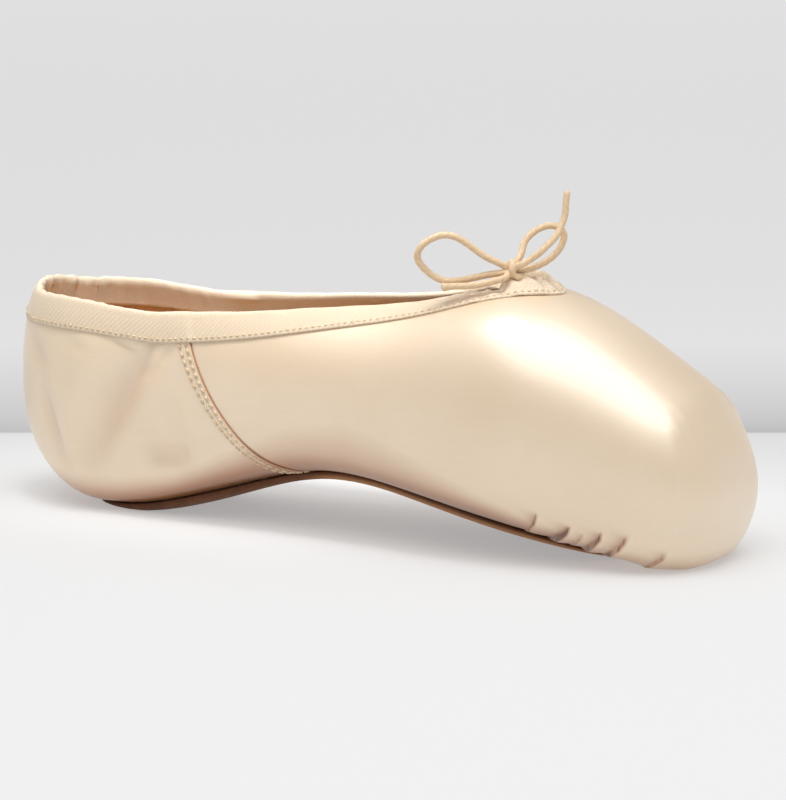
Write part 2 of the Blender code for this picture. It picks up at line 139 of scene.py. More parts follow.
@dataclass(frozen=True)
class Last:
    """The form under the shoe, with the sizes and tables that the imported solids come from."""

    length: float = 232 * MM
    ball_width: float = 74 * MM
    instep_height: float = 73 * MM
    collar_height: float = 61 * MM
    arch_rise: float = 13.5 * MM
    heel_plan_round: float = 36 * MM
    heel_under_round: float = 34 * MM
    heel_top_round: float = 20 * MM
    platform_width: float = 24 * MM
    toe_plan_round: float = 22 * MM
    toe_top_round: float = 16 * MM
    toe_top_drop: float = 14 * MM
    toe_low_round: float = 11 * MM
    toe_low_lift: float = 18 * MM
    toe_plan_square: float = 2.2
    fit_gap: float = 0.3 * MM
    sole_thickness: float = 2.3 * MM
    sole_front_edge: float = 1.2 * MM
    sole_end_share: float = 0.872
    skive_start_share: float = 0.70
    skive_end_share: float = 0.87
    platform_start_share: float = 0.922
    sections: Table = Table(
        ("along", "half_width", "rise", "crown", "widest", "low_square", "high_square"),
        (
            (0.000, 0.350, 0.00, 1.03, 0.540, 3.4, 2.2),
            (0.100, 0.360, -0.10, 1.05, 0.520, 4.2, 2.2),
            (0.200, 0.366, -0.10, 1.06, 0.500, 4.2, 2.2),
            (0.300, 0.362, 0.28, 1.02, 0.490, 3.4, 2.2),
            (0.450, 0.388, 1.00, 0.95, 0.500, 2.9, 2.2),
            (0.600, 0.455, 0.78, 0.965, 0.450, 2.8, 2.3),
            (0.720, 0.500, 0.40, 1.02, 0.400, 2.9, 2.3),
            (0.840, 0.465, 0.06, 0.880, 0.340, 3.0, 2.3),
            (0.925, 0.415, -0.12, 0.71, 0.300, 3.0, 2.4),
            (0.965, 0.395, -0.15, 0.63, 0.295, 2.4, 2.4),
            (1.000, 0.380, -0.15, 0.555, 0.290, 2.0, 2.4),
        ),
    )
    guides: Table = Table(
        (
            "around", "spine_x", "sole_x", "sole_y", "feather_x", "feather_y",
            "side_x", "side_y", "side_z", "collar_x", "collar_y", "collar_z",
        ),
        (
            (0.00, 0.155, 0.165, 0.00, 0.056, 0.00, 0.000, 0.00, 0.575, 0.024, 0.00, 1.030),
            (0.08, 0.160, 0.178, 0.20, 0.082, 0.38, 0.030, 0.51, 0.575, 0.052, 0.41, 1.000),
            (0.17, 0.207, 0.235, 0.27, 0.216, 0.53, 0.181, 0.73, 0.550, 0.164, 0.58, 0.968),
            (0.35, 0.353, 0.460, 0.15, 0.445, 0.33, 0.350, 0.76, 0.440, 0.290, 0.55, 0.957),
            (0.47, 0.474, 0.545, 0.19, 0.535, 0.46, 0.490, 0.84, 0.490, 0.405, 0.46, 0.978),
            (0.62, 0.621, 0.655, 0.35, 0.664, 0.68, 0.647, 0.98, 0.440, 0.543, 0.36, 1.108),
            (0.77, 0.754, 0.770, 0.38, 0.815, 0.73, 0.810, 0.90, 0.390, 0.655, 0.26, 1.185),
            (0.89, 0.812, 0.825, 0.22, 0.922, 0.47, 0.953, 0.57, 0.300, 0.708, 0.15, 1.215),
            (1.00, 0.828, 0.840, 0.00, 0.978, 0.00, 1.000, 0.00, 0.280, 0.727, 0.00, 1.220),
        ),
    )

    def opening_out(self, x: Array, reach: float) -> Array:
        """Grows from 0 at the back of the heel to 1, as a quarter of an ellipse that long."""
        left = np.clip(1 - x / reach, 0, 1)
        return np.sqrt(1 - left**2)

    def rounding_off(self, x: Array, reach: float, square: float = 2.0) -> Array:
        """Grows from 0 to 1 over the last stretch before the toe, as a rounded corner that long."""
        share = np.clip((x - self.length + reach) / reach, 0, 1)
        return 1 - (1 - share**square) ** (1 / square)

    def sole_leather(self, x: Array) -> Array:
        """The sole's thickness, skived thinner towards its front end."""
        past = x / self.length - self.skive_start_share
        skived = smooth_step(past / (self.skive_end_share - self.skive_start_share))
        return self.sole_thickness + (self.sole_front_edge - self.sole_thickness) * skived

    def section(self, x: Array) -> tuple[Array, ...]:
        """Reads the section table and the roundings of heel and platform.

        Args:
            x: Places along the shoe.

        Returns:
            Half the width, the depth below and height above the widest level, that level, and how
            square the section is below and above it.
        """
        x = np.clip(x, 0, self.length)
        along = x / self.length
        places = self.sections.column("along")
        value = {
            name: natural_spline(places, self.sections.column(name), along)
            for name in self.sections.columns[1:]
        }
        fade = self.platform_start_share - self.sole_end_share
        ahead = smooth_step((along - self.sole_end_share) / fade)
        room = (self.sole_leather(x) + self.fit_gap) * (1 - ahead)
        underside = value["rise"] * self.arch_rise + room
        widest = value["widest"] * self.instep_height
        toe_half = self.sections.column("half_width")[-1] * self.ball_width
        half = value["half_width"] * self.ball_width * self.opening_out(x, self.heel_plan_round)
        corner = self.rounding_off(x, self.toe_plan_round, self.toe_plan_square)
        half = half - (toe_half - self.platform_width / 2) * corner
        low = (widest - underside) * self.opening_out(x, self.heel_under_round)
        low = low - self.toe_low_lift * self.rounding_off(x, self.toe_low_round)
        high = (value["crown"] * self.instep_height - widest) * self.opening_out(x, self.heel_top_round)
        high = high - self.toe_top_drop * self.rounding_off(x, self.toe_top_round)
        return half, low, high, widest, value["low_square"], value["high_square"]

    def holds(self, points: Array) -> NDArray[np.bool_]:
        """Whether each point is inside the last and above the floor."""
        x, y, z = points[..., 0], points[..., 1], points[..., 2]
        half, low, high, widest, low_square, high_square = self.section(x)
        above = z >= widest
        tall = np.where(above, high, low)
        square = np.where(above, high_square, low_square)
        tiny = np.finfo(float).eps
        across = np.abs(y) / np.maximum(half, tiny)
        away = np.abs(z - widest) / np.maximum(tall, tiny)
        return (x >= 0) & (x <= self.length) & (z >= 0) & (across**square + away**square <= 1)

    def cast(self, starts: Array, directions: Array) -> Array:
        """Where the rays from inside leave the last, found by halving."""
        near = np.zeros(starts.shape[:-1])
        far = np.full(starts.shape[:-1], self.length)
        for _ in range(26):
            middle = (near + far) / 2
            held = self.holds(starts + directions * middle[..., None])
            near = np.where(held, middle, near)
            far = np.where(held, far, middle)
        return starts + directions * near[..., None]

    def underside_height(self, x: Array, y: Array) -> Array:
        """The height of the last's underside."""
        half, low, _, widest, low_square, _ = self.section(x)
        share = np.clip(np.abs(y) / half, 0, 1) ** low_square
        return np.maximum(widest - low * (1 - share) ** (1 / low_square), 0)

    def underside_point(self, x: Array, y: Array, outward: Array) -> Array:
        """A point off the last's underside, along its normal; a distance below 0 goes into the shoe."""
        step = 0.2 * MM
        slope_x = (self.underside_height(x + step, y) - self.underside_height(x - step, y)) / (2 * step)
        slope_y = (self.underside_height(x, y + step) - self.underside_height(x, y - step)) / (2 * step)
        normal = unit(np.stack([slope_x, slope_y, -np.ones_like(slope_x)], -1))
        return np.stack([x, y, self.underside_height(x, y)], -1) + normal * outward[..., None]

    def guide_values(self, around: Array) -> dict[str, Array]:
        """The guide table read at places round the shoe; below 0 is the near side."""
        rows = np.array(self.guides.rows)
        mirrored = np.array([-1.0 if name.endswith("_y") else 1.0 for name in self.guides.columns])
        behind = rows[:0:-1] * mirrored
        behind[:, 0] = -behind[:, 0]
        ahead = rows[-2::-1] * mirrored
        ahead[:, 0] = 2 - ahead[:, 0]
        table = np.concatenate([behind, rows, ahead])
        value = {}
        for k, name in enumerate(self.guides.columns[1:], start=1):
            side = np.where(around < 0, mirrored[k], 1.0)
            value[name] = natural_spline(table[:, 0], table[:, k], np.abs(around)) * side
        return value

    def columns(self, around: Array, under: Array, up: Array) -> Array:
        """A grid of points on the last.

        Args:
            around: A place round the shoe for each column, from -1 at the toe by the near side to 1.
            under: A share of the way from the turned-in edge to the feather edge for each first row.
            up: A share of the way from the feather edge to the collar for each further row.

        Returns:
            The points, indexed by column and row.
        """
        value = self.guide_values(around)
        half_width = self.ball_width / 2

        def guide(name: str, height: Array) -> Array:
            """The points of a guide line at these heights."""
            across = value[name + "_y"] * half_width
            return np.stack([value[name + "_x"] * self.length, across, height], -1)

        sole_x = value["sole_x"] * self.length
        sole = guide("sole", self.underside_height(sole_x, value["sole_y"] * half_width))
        feather_x = value["feather_x"] * self.length
        feather = guide("feather", self.underside_height(feather_x, value["feather_y"] * half_width))
        side = guide("side", value["side_z"] * self.instep_height)
        collar = guide("collar", value["collar_z"] * self.collar_height)
        spine_x = value["spine_x"] * self.length
        spine = np.stack([spine_x, np.zeros_like(spine_x), self.section(spine_x)[3]], -1)
        bend = 2 * side - (feather + collar) / 2
        margin = under[:, None]
        rise = up[:, None]
        under_foot = sole[:, None] * (1 - margin) + feather[:, None] * margin
        lower, middle, upper = (1 - rise) ** 2, 2 * rise * (1 - rise), rise**2
        up_side = feather[:, None] * lower + bend[:, None] * middle + collar[:, None] * upper
        aims = np.concatenate([under_foot, up_side], axis=1)
        starts = np.repeat(spine[:, None], aims.shape[1], axis=1)
        return self.cast(starts, unit(aims - starts))

    def to_model(self, points: Array) -> Array:
        """Points of the shoe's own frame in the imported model's frame."""
        return points - np.array([self.length / 2, 0, 0])


def grid_normals(grid: Array, closed: bool) -> Array:
    """Outward normals of a grid whose columns run round the shoe and whose rows run up it."""
    if closed:
        round_shoe = np.roll(grid, -1, axis=0) - np.roll(grid, 1, axis=0)
    else:
        round_shoe = np.gradient(grid, axis=0)
    return unit(np.cross(np.gradient(grid, axis=1), round_shoe))


def run_lengths(grid: Array, axis: int) -> Array:
    """How far along a line or a grid each point lies, in metres, along one of its axes."""
    steps = np.linalg.norm(np.diff(grid, axis=axis), axis=-1)
    first = np.zeros_like(np.take(steps, [0], axis=axis))
    return np.cumsum(np.concatenate([first, steps], axis=axis), axis=axis)


def read_line(at: Array, run: Array, line: Array) -> Array:
    """The points of a line at distances along it."""
    return np.stack([np.interp(at, run, line[:, k]) for k in range(line.shape[1])], -1)


def stations(*stretches: tuple[float, float, int]) -> Array:
    """Places evenly spaced in each stretch, which is given by its start, its end and its steps."""
    parts = [np.linspace(start, end, steps, endpoint=False) for start, end, steps in stretches]
    return np.concatenate([*parts, [stretches[-1][1]]])


# Making a piece


def clear_selection() -> None:
    """Leaves nothing selected and no piece active."""
    bpy.ops.object.select_all(action="DESELECT")
    bpy.context.view_layer.objects.active = None


def activate(piece: bpy.types.Object) -> None:
    """Selects this piece alone and makes it active."""
    clear_selection()
    piece.select_set(True)
    bpy.context.view_layer.objects.active = piece


def mend_mesh(piece: bpy.types.Object, merge: float = 0.0, turn: bool = True) -> None:
    """Merges points that lie together and turns the faces outwards.

    Args:
        piece: The piece.
        merge: The distance within which points become one; 0 merges none.
        turn: Whether the faces are turned outwards.
    """
    activate(piece)
    bpy.ops.object.mode_set(mode="EDIT")
    bpy.ops.mesh.select_all(action="SELECT")
    if merge:
        bpy.ops.mesh.remove_doubles(threshold=merge)
    if turn:
        bpy.ops.mesh.normals_make_consistent(inside=False)
    bpy.ops.object.mode_set(mode="OBJECT")


def set_attribute(piece: bpy.types.Object, name: str, values: Array) -> None:
    """Stores one number for each point of the piece, for its material to read."""
    layer = piece.data.attributes.new(name, "FLOAT", "POINT")
    layer.data.foreach_set("value", np.asarray(values, np.float32).ravel())


def cloth_from_grid(
    name: str, grid: Array, closed: bool, shade: Array | None = None, map_mm: Array | None = None
) -> bpy.types.Object:
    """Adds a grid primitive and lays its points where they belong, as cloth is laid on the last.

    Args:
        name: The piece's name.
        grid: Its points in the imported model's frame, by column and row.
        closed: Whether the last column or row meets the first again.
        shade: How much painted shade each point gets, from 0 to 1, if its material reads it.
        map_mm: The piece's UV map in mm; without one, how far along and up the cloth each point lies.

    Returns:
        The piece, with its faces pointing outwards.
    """
    columns, rows = grid.shape[:2]
    if map_mm is None:
        map_mm = np.stack([run_lengths(grid, 0), run_lengths(grid, 1)], -1) / MM
    clear_selection()
    bpy.ops.mesh.primitive_grid_add(x_subdivisions=rows - 1, y_subdivisions=columns - 1, size=1)
    piece = bpy.context.object
    piece.name = name
    mesh = piece.data
    mesh.name = name
    mesh.vertices.foreach_set("co", grid.reshape(-1, 3).astype(np.float32).ravel())
    corners = np.empty(len(mesh.loops), np.int32)
    mesh.loops.foreach_get("vertex_index", corners)
    mesh.uv_layers[0].data.foreach_set("uv", map_mm.reshape(-1, 2)[corners].astype(np.float32).ravel())
    mesh.update()
    if shade is not None:
        set_attribute(piece, "shade", shade)
    if closed:
        mend_mesh(piece, merge=0.001 * MM, turn=False)
    bpy.ops.object.shade_smooth()
    return piece


def thicken(piece: bpy.types.Object, thickness: float) -> None:
    """Gives a sheet its thickness, grown inwards."""
    wall = piece.modifiers.new("Thickness", "SOLIDIFY")
    wall.thickness = thickness
    wall.offset = -1
    wall.use_quality_normals = True
    activate(piece)
    bpy.ops.object.modifier_apply(modifier=wall.name)


def dress(piece: bpy.types.Object, finish: bpy.types.Material, slot: str, *replaced: str) -> None:
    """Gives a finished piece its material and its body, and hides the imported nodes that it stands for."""
    piece.data.materials.clear()
    piece.data.materials.append(finish)
    if replaced:
        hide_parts(*replaced)
    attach(piece, "root")
    log.info("%s: %d faces", piece.name, len(piece.data.polygons))


# Materials


def linear(colour: str) -> tuple[float, float, float, float]:
    """An sRGB hex colour in linear light."""
    shares = [int(colour[i:i + 2], 16) / 255 for i in (1, 3, 5)]
    straight = [s / 12.92 if s <= 0.04045 else ((s + 0.055) / 1.055) ** 2.4 for s in shares]
    return (*straight, 1.0)


@dataclass(frozen=True)
class Nodes:
    """A node tree, with the few kinds of node that the finishes are made of."""

    tree: bpy.types.NodeTree

    def set_inputs(self, node: bpy.types.Node, inputs: dict[str | int, object]) -> None:
        """Gives each input its number, its colour such as "#F3DCBC", or the socket that it is linked to."""
        for key, value in inputs.items():
            socket = node.inputs[key]
            if isinstance(value, Socket):
                self.tree.links.new(value, socket)
            else:
                socket.default_value = linear(value) if isinstance(value, str) else value

    def add(self, kind: str, inputs: dict[str | int, object], **settings: object) -> bpy.types.Node:
        """Adds a node.

        Args:
            kind: The node's type without "ShaderNode", such as "Math".
            inputs: A number, a colour or another node's socket for each input.
            settings: The node's own properties.

        Returns:
            The node.
        """
        node = self.tree.nodes.new("ShaderNode" + kind)
        for name, value in settings.items():
            setattr(node, name, value)
        self.set_inputs(node, inputs)
        return node

    def place(self, source: Coordinates, scale: tuple[float, float, float], turn: float = 0.0) -> Socket:
        """Coordinates stretched by a scale for each axis and turned about the third."""
        laid = self.add("TexCoord", {}).outputs[source.value]
        return self.add("Mapping", {"Vector": laid, "Rotation": (0.0, 0.0, turn), "Scale": scale}).outputs[0]

    def noise(
        self, scale: float, detail: float, roughness: float = 0.5, distortion: float = 0.0,
        stretch: tuple[float, float, float] = (1.0, 1.0, 1.0),
    ) -> Socket:
        """Noise that follows the piece's own place, with so many lumps to the metre."""
        return self.add("TexNoise", {
            "Vector": self.place(Coordinates.OBJECT, stretch),
            "Scale": scale, "Detail": detail, "Roughness": roughness, "Distortion": distortion,
        }).outputs["Fac"]

    def attribute(self, name: str) -> Socket:
        """A number stored at the piece's points."""
        return self.add("Attribute", {}, attribute_name=name).outputs["Fac"]

    def mix(self, share: float | Socket, first: str | Socket, second: str | Socket) -> Socket:
        """Mixes two colours."""
        return self.add("Mix", {"Factor": share, 6: first, 7: second}, data_type="RGBA").outputs[2]

    def ramp(self, value: Socket, low: float, high: float, start: float = 0.0, end: float = 1.0) -> Socket:
        """Maps a number from one range to another, held at its ends."""
        inputs = {"Value": value, "From Min": low, "From Max": high, "To Min": start, "To Max": end}
        return self.add("MapRange", inputs, clamp=True).outputs[0]

    def combine(self, operation: str, first: Socket, second: float | Socket) -> Socket:
        """Two numbers made one."""
        return self.add("Math", {0: first, 1: second}, operation=operation).outputs[0]

    def bump(self, height: Socket, strength: float, depth_mm: float) -> Socket:
        """A normal that follows a pattern's height."""
        inputs = {"Strength": strength, "Distance": depth_mm * MM, "Height": height}
        return self.add("Bump", inputs).outputs[0]

    def shader(self, inputs: dict[str | int, object]) -> None:
        """Sets the inputs of the material's shader."""
        self.set_inputs(self.tree.nodes["Principled BSDF"], inputs)


def new_finish(name: str) -> tuple[bpy.types.Material, Nodes]:
    """An empty Principled material and its nodes."""
    finish = bpy.data.materials.new(name)
    finish.use_nodes = True
    return finish, Nodes(finish.node_tree)


@dataclass(frozen=True)
class PeachSatin:
    """Peach duchesse satin: long floats of silky yarn, which give a broad soft gloss and fine lines."""

    body: str = "#F3DCBC"
    shade: str = "#E9CBA4"
    scuff: str = "#D2B48C"
    painted_shade: str = "#AE6A2A"
    deep_painted_shade: str = "#5E3A20"
    roughness: float = 0.36
    silk: float = 0.12
    gloss: float = 2.5
    thread_mm: float = 0.55

    def material(self) -> bpy.types.Material:
        """The satin's material."""
        finish, nodes = new_finish("peach satin")
        # The real threads are 0.1 mm apart, too fine to show: they are drawn as coarse as they need to be
        across = 1 / (self.thread_mm * MM)
        threads = nodes.noise(1.0, 2.0, 0.6, stretch=(across * 0.03, across, across))
        clouds = nodes.noise(34.0, 3.0, 0.55)
        base = nodes.mix(nodes.ramp(clouds, 0.35, 0.7, 0.0, 0.35), self.body, self.shade)
        base = nodes.mix(nodes.ramp(threads, 0.3, 0.75, 0.0, 0.10), base, self.scuff)
        # The shade attribute is painted shade: in the pleats' tucks and along their lines, in the heel folds'
        # troughs, in the sewn dents and along the heel panel's lapped edge, and where the satin turns under
        # the foot
        dark = nodes.attribute("shade")
        base = nodes.mix(nodes.ramp(dark, 0.0, 0.6), base, self.painted_shade)
        nodes.shader({
            "Base Color": nodes.mix(nodes.ramp(dark, 0.6, 1.0), base, self.deep_painted_shade),
            "Roughness": nodes.ramp(threads, 0.3, 0.7, self.roughness - 0.03, self.roughness + 0.07),
            "Normal": nodes.bump(threads, 0.12, 0.06),
            "IOR": 1.5,
            "Metallic": self.silk,
            "Specular IOR Level": 0.7,
            "Coat Weight": 0.8,
            "Coat IOR": self.gloss,
            "Coat Roughness": 0.30,
            "Sheen Weight": 0.1,
            "Sheen Roughness": 0.35,
            "Sheen Tint": "#FFF3E4",
        })
        return finish


@dataclass(frozen=True)
class TwillTape:
    """Cotton twill tape, folded over the collar: matt, with fine slanting ribs and a soft edge."""

    body: str = "#F4E4CB"
    groove: str = "#D8BC96"
    painted_shade: str = "#8A6238"
    rib_mm: float = 0.9
    slant: float = 35.0

    def material(self) -> bpy.types.Material:
        """The tape's material."""
        finish, nodes = new_finish("cotton twill tape")
        # Ribs 0.5 mm apart on real tape are drawn 0.9 mm apart, as coarse as the picture shows them
        scale = 1 / self.rib_mm
        ribs = nodes.add("TexWave", {
            "Vector": nodes.place(Coordinates.UV, (scale, scale, scale), math.radians(self.slant)),
            "Scale": 0.3142, "Distortion": 0.5, "Detail": 1.0, "Detail Scale": 1.5,
        }, wave_type="BANDS", bands_direction="Y").outputs["Fac"]
        height = nodes.combine("ADD", ribs, nodes.noise(900.0, 2.0))
        base = nodes.mix(nodes.ramp(height, 0.5, 1.5, 0.35, 0.0), self.body, self.groove)
        nodes.shader({
            # The shade attribute is painted shade: the outer face darker and the inner face left paler as if
            # lit, with more in the throat's recesses and the heel's pinches
            "Base Color": nodes.mix(nodes.attribute("shade"), base, self.painted_shade),
            "Normal": nodes.bump(height, 0.35, 0.12),
            "Roughness": 0.85,
            "Specular IOR Level": 0.3,
            "Sheen Weight": 0.25,
            "Sheen Roughness": 0.6,
        })
        return finish


@dataclass(frozen=True)
class CottonLining:
    """Plain-woven cotton lining, warm brown: matt, with a small even grain."""

    body: str = "#DDB080"
    grain: str = "#BE905E"

    def material(self) -> bpy.types.Material:
        """The lining's material."""
        finish, nodes = new_finish("cotton lining")
        grain = nodes.noise(1100.0, 2.0)
        nodes.shader({
            "Base Color": nodes.mix(nodes.ramp(grain, 0.35, 0.7, 0.0, 0.6), self.body, self.grain),
            "Normal": nodes.bump(grain, 0.3, 0.15),
            "Roughness": 0.9,
            "Specular IOR Level": 0.2,
        })
        return finish


@dataclass(frozen=True)
class SoleLeather:
    """Vegetable-tanned sole leather, buffed: brown, matt, with a fine nap and paler edges."""

    body: str = "#70472D"
    dark: str = "#4A2C1C"
    edge: str = "#8A5F40"
    pale_rim: str = "#B08058"

    def material(self) -> bpy.types.Material:
        """The sole leather's material."""
        finish, nodes = new_finish("buffed sole leather")
        nap = nodes.noise(1400.0, 4.0, 0.7)
        patches = nodes.noise(60.0, 4.0, 0.6, 0.4)
        base = nodes.mix(nodes.ramp(patches, 0.35, 0.68, 0.0, 0.8), self.body, self.dark)
        base = nodes.mix(nodes.ramp(nap, 0.45, 0.75, 0.0, 0.5), base, self.edge)
        nodes.shader({
            # The lower rim keeps the edge's paler colour; the dark leather above it on the edge is painted
            # shadow, for the gap under the satin
            "Base Color": nodes.mix(nodes.attribute("rim"), base, self.pale_rim),
            "Normal": nodes.bump(nap, 0.35, 0.12),
            "Roughness": 0.72,
            "Specular IOR Level": 0.35,
        })
        return finish


@dataclass(frozen=True)
class CottonCord:
    """Braided cotton drawstring: matt, with slanting strands round it."""

    body: str = "#E2C7A3"
    groove: str = "#BF9B72"
    strand_mm: float = 1.1

    def material(self) -> bpy.types.Material:
        """The cord's material."""
        finish, nodes = new_finish("braided cotton cord")
        scale = 1 / self.strand_mm
        strands = nodes.add("TexWave", {
            "Vector": nodes.place(Coordinates.UV, (scale, scale, scale)),
            "Scale": 0.3, "Distortion": 0.4, "Detail": 1.0,
        }, wave_type="BANDS", bands_direction="DIAGONAL").outputs["Fac"]
        nodes.shader({
            "Base Color": nodes.mix(nodes.ramp(strands, 0.1, 0.9, 0.16, 0.0), self.body, self.groove),
            "Normal": nodes.bump(strands, 0.12, 0.06),
            "Roughness": 0.6,
            "Sheen Weight": 0.75,
            "Sheen Roughness": 0.3,
            "Sheen Tint": "#FFF0D8",
        })
        return finish


@dataclass(frozen=True)
class SewingThread:
    """Spun polyester thread: pale and a little glossy."""

    body: str = "#E3CDA9"
    groove: str = "#B4926A"

    def material(self) -> bpy.types.Material:
        """The thread's material."""
        finish, nodes = new_finish("sewing thread")
        ply = nodes.ramp(nodes.noise(2500.0, 1.0), 0.3, 0.7, 0.0, 0.5)
        nodes.shader({"Base Color": nodes.mix(ply, self.body, self.groove), "Roughness": 0.55})
        return finish


@dataclass(frozen=True)
class InsoleCanvas:
    """Cotton canvas glued on the insole board: tan, matt, with a plain weave."""

    body: str = "#CDA878"
    groove: str = "#A07C50"
    thread_mm: float = 0.8

    def material(self) -> bpy.types.Material:
        """The canvas's material."""
        finish, nodes = new_finish("insole canvas")
        rate = 1 / (self.thread_mm * MM)
        checks = {"Vector": nodes.place(Coordinates.OBJECT, (rate, rate, rate)), "Scale": 1.0}
        weave = nodes.add("TexChecker", checks).outputs["Fac"]
        height = nodes.combine("ADD", weave, nodes.noise(700.0, 3.0))
        nodes.shader({
            "Base Color": nodes.mix(nodes.ramp(height, 0.3, 1.6, 0.5, 0.0), self.body, self.groove),
            "Normal": nodes.bump(height, 0.4, 0.15),
            "Roughness": 0.9,
        })
        return finish


@dataclass(frozen=True)
class StudioFloor:
    """Matt white paper sweep, painted the grey of the wall beyond its turn, with painted shade in a dark band
    at the turn and on the floor just before it, the wall lighter further up, and a glow of its own colour as
    painted light.
    """

    floor: str = "#B8B8B8"
    wall: str = "#B3B2B2"
    high: str = "#BFBEBE"
    turn: str = "#8B8A8A"
    fold: str = "#ACACAC"
    glow: float = 0.73
    band: float = 0.17
    near_band: float = 0.10
    turn_at: tuple[float, float] = (0.0, 0.0)
    heading: float = 0.0

    def material(self) -> bpy.types.Material:
        """The paper's material."""
        finish, nodes = new_finish("studio paper")
        turned = nodes.add("Mapping", {
            "Vector": nodes.add("TexCoord", {}).outputs["Object"],
            "Location": (*self.turn_at, 0.0),
            "Rotation": (0.0, 0.0, self.heading),
        }, vector_type="TEXTURE").outputs[0]
        beyond = nodes.add("SeparateXYZ", {"Vector": turned}).outputs["Y"]
        # Painted shade: a dark band at the turn fading onto the wall, the wall growing lighter further away,
        # and the floor darkening just before the turn
        soft = nodes.combine("POWER", nodes.ramp(beyond, 0.0, self.band), 0.5)
        far = nodes.mix(soft, self.turn, nodes.mix(nodes.ramp(beyond, 0.3, 1.4), self.wall, self.high))
        near = nodes.mix(nodes.ramp(beyond, -self.near_band, 0.0), self.floor, self.fold)
        base = nodes.mix(nodes.ramp(beyond, 0.0, 0.004), near, far)
        # The paper glows with its own colour, painted light that lifts the shadows on it
        nodes.shader({
            "Base Color": base,
            "Emission Color": base,
            "Emission Strength": self.glow,
            "Roughness": 0.9,
            "Specular IOR Level": 0.1,
        })
        return finish


# Folds of the cloth


@dataclass(frozen=True)
class Fold:
    """A trough or ridge along a line that is given in mm, seen from the side: x forward and z up.

    depth_mm is how far the cloth moves outwards in the middle of the line, below 0 for a trough, and
    width_mm how far from the line it still moves.
    """

    points: tuple[tuple[float, float], ...]
    depth_mm: float
    width_mm: float
    side: Side = Side.BOTH
    taper: bool = True


@dataclass(frozen=True)
class Pleat:
    """A tuck of the satin where it is drawn under the toe: the cloth swells and then drops over a line.

    The points are in mm, x forward, y across on the near side, z up, from the fold's fading end down. line_mm
    and tuck_mm are how far the painted shade reaches from the line and into the tuck.
    """

    points: tuple[tuple[float, float, float], ...]
    height_mm: float
    swell_mm: float
    swell_share: float = 0.75
    sink_share: float = 0.4
    line_mm: float = 0.55
    tuck_mm: float = 2.1
    fade_in: float = 0.16
    middle_mm: float = 25.0


HEEL_FOLDS: tuple[Fold, ...] = (
    Fold(((51.5, 44.0), (45.1, 32.4), (41.0, 24.5), (36.0, 15.5)), -2.6, 4.6, Side.NEAR),
    Fold(((59.0, 45.0), (56.0, 36.0), (55.0, 27.0)), 1.6, 4.5, Side.NEAR),
    Fold(((35.0, 47.0), (31.5, 33.0), (29.0, 17.0)), 1.8, 5.5, Side.NEAR),
    Fold(((55.5, 53.3), (52.8, 44.0)), -0.95, 2.3, Side.NEAR),
    Fold(((61.5, 50.5), (56.5, 43.5)), -0.75, 2.0, Side.NEAR),
    Fold(((58.5, 19.6), (65.0, 19.4)), -2.0, 4.4, Side.NEAR, False),
    Fold(((67.5, 36.0), (71.5, 20.0)), 1.2, 3.8, Side.NEAR),
    Fold(((12.8, 48.0), (14.5, 44.5), (17.2, 41.0)), -1.0, 2.8),
    Fold(((16.8, 35.0), (20.1, 28.0), (22.6, 22.9), (27.5, 12.5)), -1.5, 2.4, Side.NEAR),
    Fold(((21.5, 40.0), (26.5, 24.0)), 0.7, 3.5, Side.NEAR),
    Fold(((28.0, 50.2), (34.0, 48.4)), -0.6, 1.7, Side.NEAR),
    Fold(((45.0, 51.6), (50.0, 50.2)), -0.6, 1.7, Side.NEAR),
    Fold(((49.0, 43.0), (43.0, 28.0), (38.0, 17.0)), -1.8, 5.5, Side.FAR),
    Fold(((60.0, 22.0), (66.0, 20.0)), -1.3, 5.5, Side.FAR, False),
    Fold(((18.0, 34.0), (24.0, 20.0)), -1.0, 2.6, Side.FAR),
    Fold(((34.0, 44.0), (31.0, 22.0)), 0.9, 5.0, Side.FAR),
)

VAMP_FOLDS: tuple[Fold, ...] = (
    Fold(((78.0, 50.0), (84.0, 40.0), (92.0, 33.0)), 0.30, 5.0),
    Fold(((72.0, 52.0), (76.0, 44.0)), -0.25, 3.0),
    Fold(((108.0, 40.0), (118.0, 30.0)), -0.20, 7.0),
    Fold(((223.0, 33.0), (222.9, 22.0), (222.0, 12.0), (220.2, 6.5)), 0.35, 1.5, Side.NEAR),
)

TOE_PLEATS: tuple[Pleat, ...] = (
    Pleat(
        ((184.9, -34.8, 16.6), (183.1, -32.7, 13.2), (179.2, -27.6, 9.5), (176.0, -23.5, 8.2)),
        0.9, 3.6,
    ),
    Pleat(
        ((194.5, -32.8, 13.2), (192.6, -31.4, 11.1), (190.4, -29.8, 9.5),
         (186.8, -26.6, 7.8), (182.5, -22.0, 6.2)),
        1.5, 3.4,
    ),
    Pleat(
        ((198.0, -31.7, 11.5), (196.2, -29.9, 9.6), (194.3, -28.1, 7.7), (189.5, -22.5, 5.3)),
        0.6, 3.0,
    ),
    Pleat(
        ((203.9, -31.6, 12.5), (202.4, -30.7, 10.2), (199.8, -28.8, 7.9),
         (195.8, -24.6, 5.2), (191.0, -19.0, 3.4)),
        1.4, 3.4,
    ),
    Pleat(
        ((211.4, -30.1, 12.2), (209.6, -29.8, 9.9), (207.4, -28.6, 7.5),
         (202.8, -24.5, 4.5), (197.0, -18.5, 2.3)),
        1.2, 3.6,
    ),
    Pleat(
        ((220.3, -24.9, 7.8), (218.4, -23.9, 4.8), (216.4, -23.4, 3.4),
         (213.7, -21.9, 1.9), (209.0, -17.0, 0.7)),
        0.7, 3.0,
    ),
)


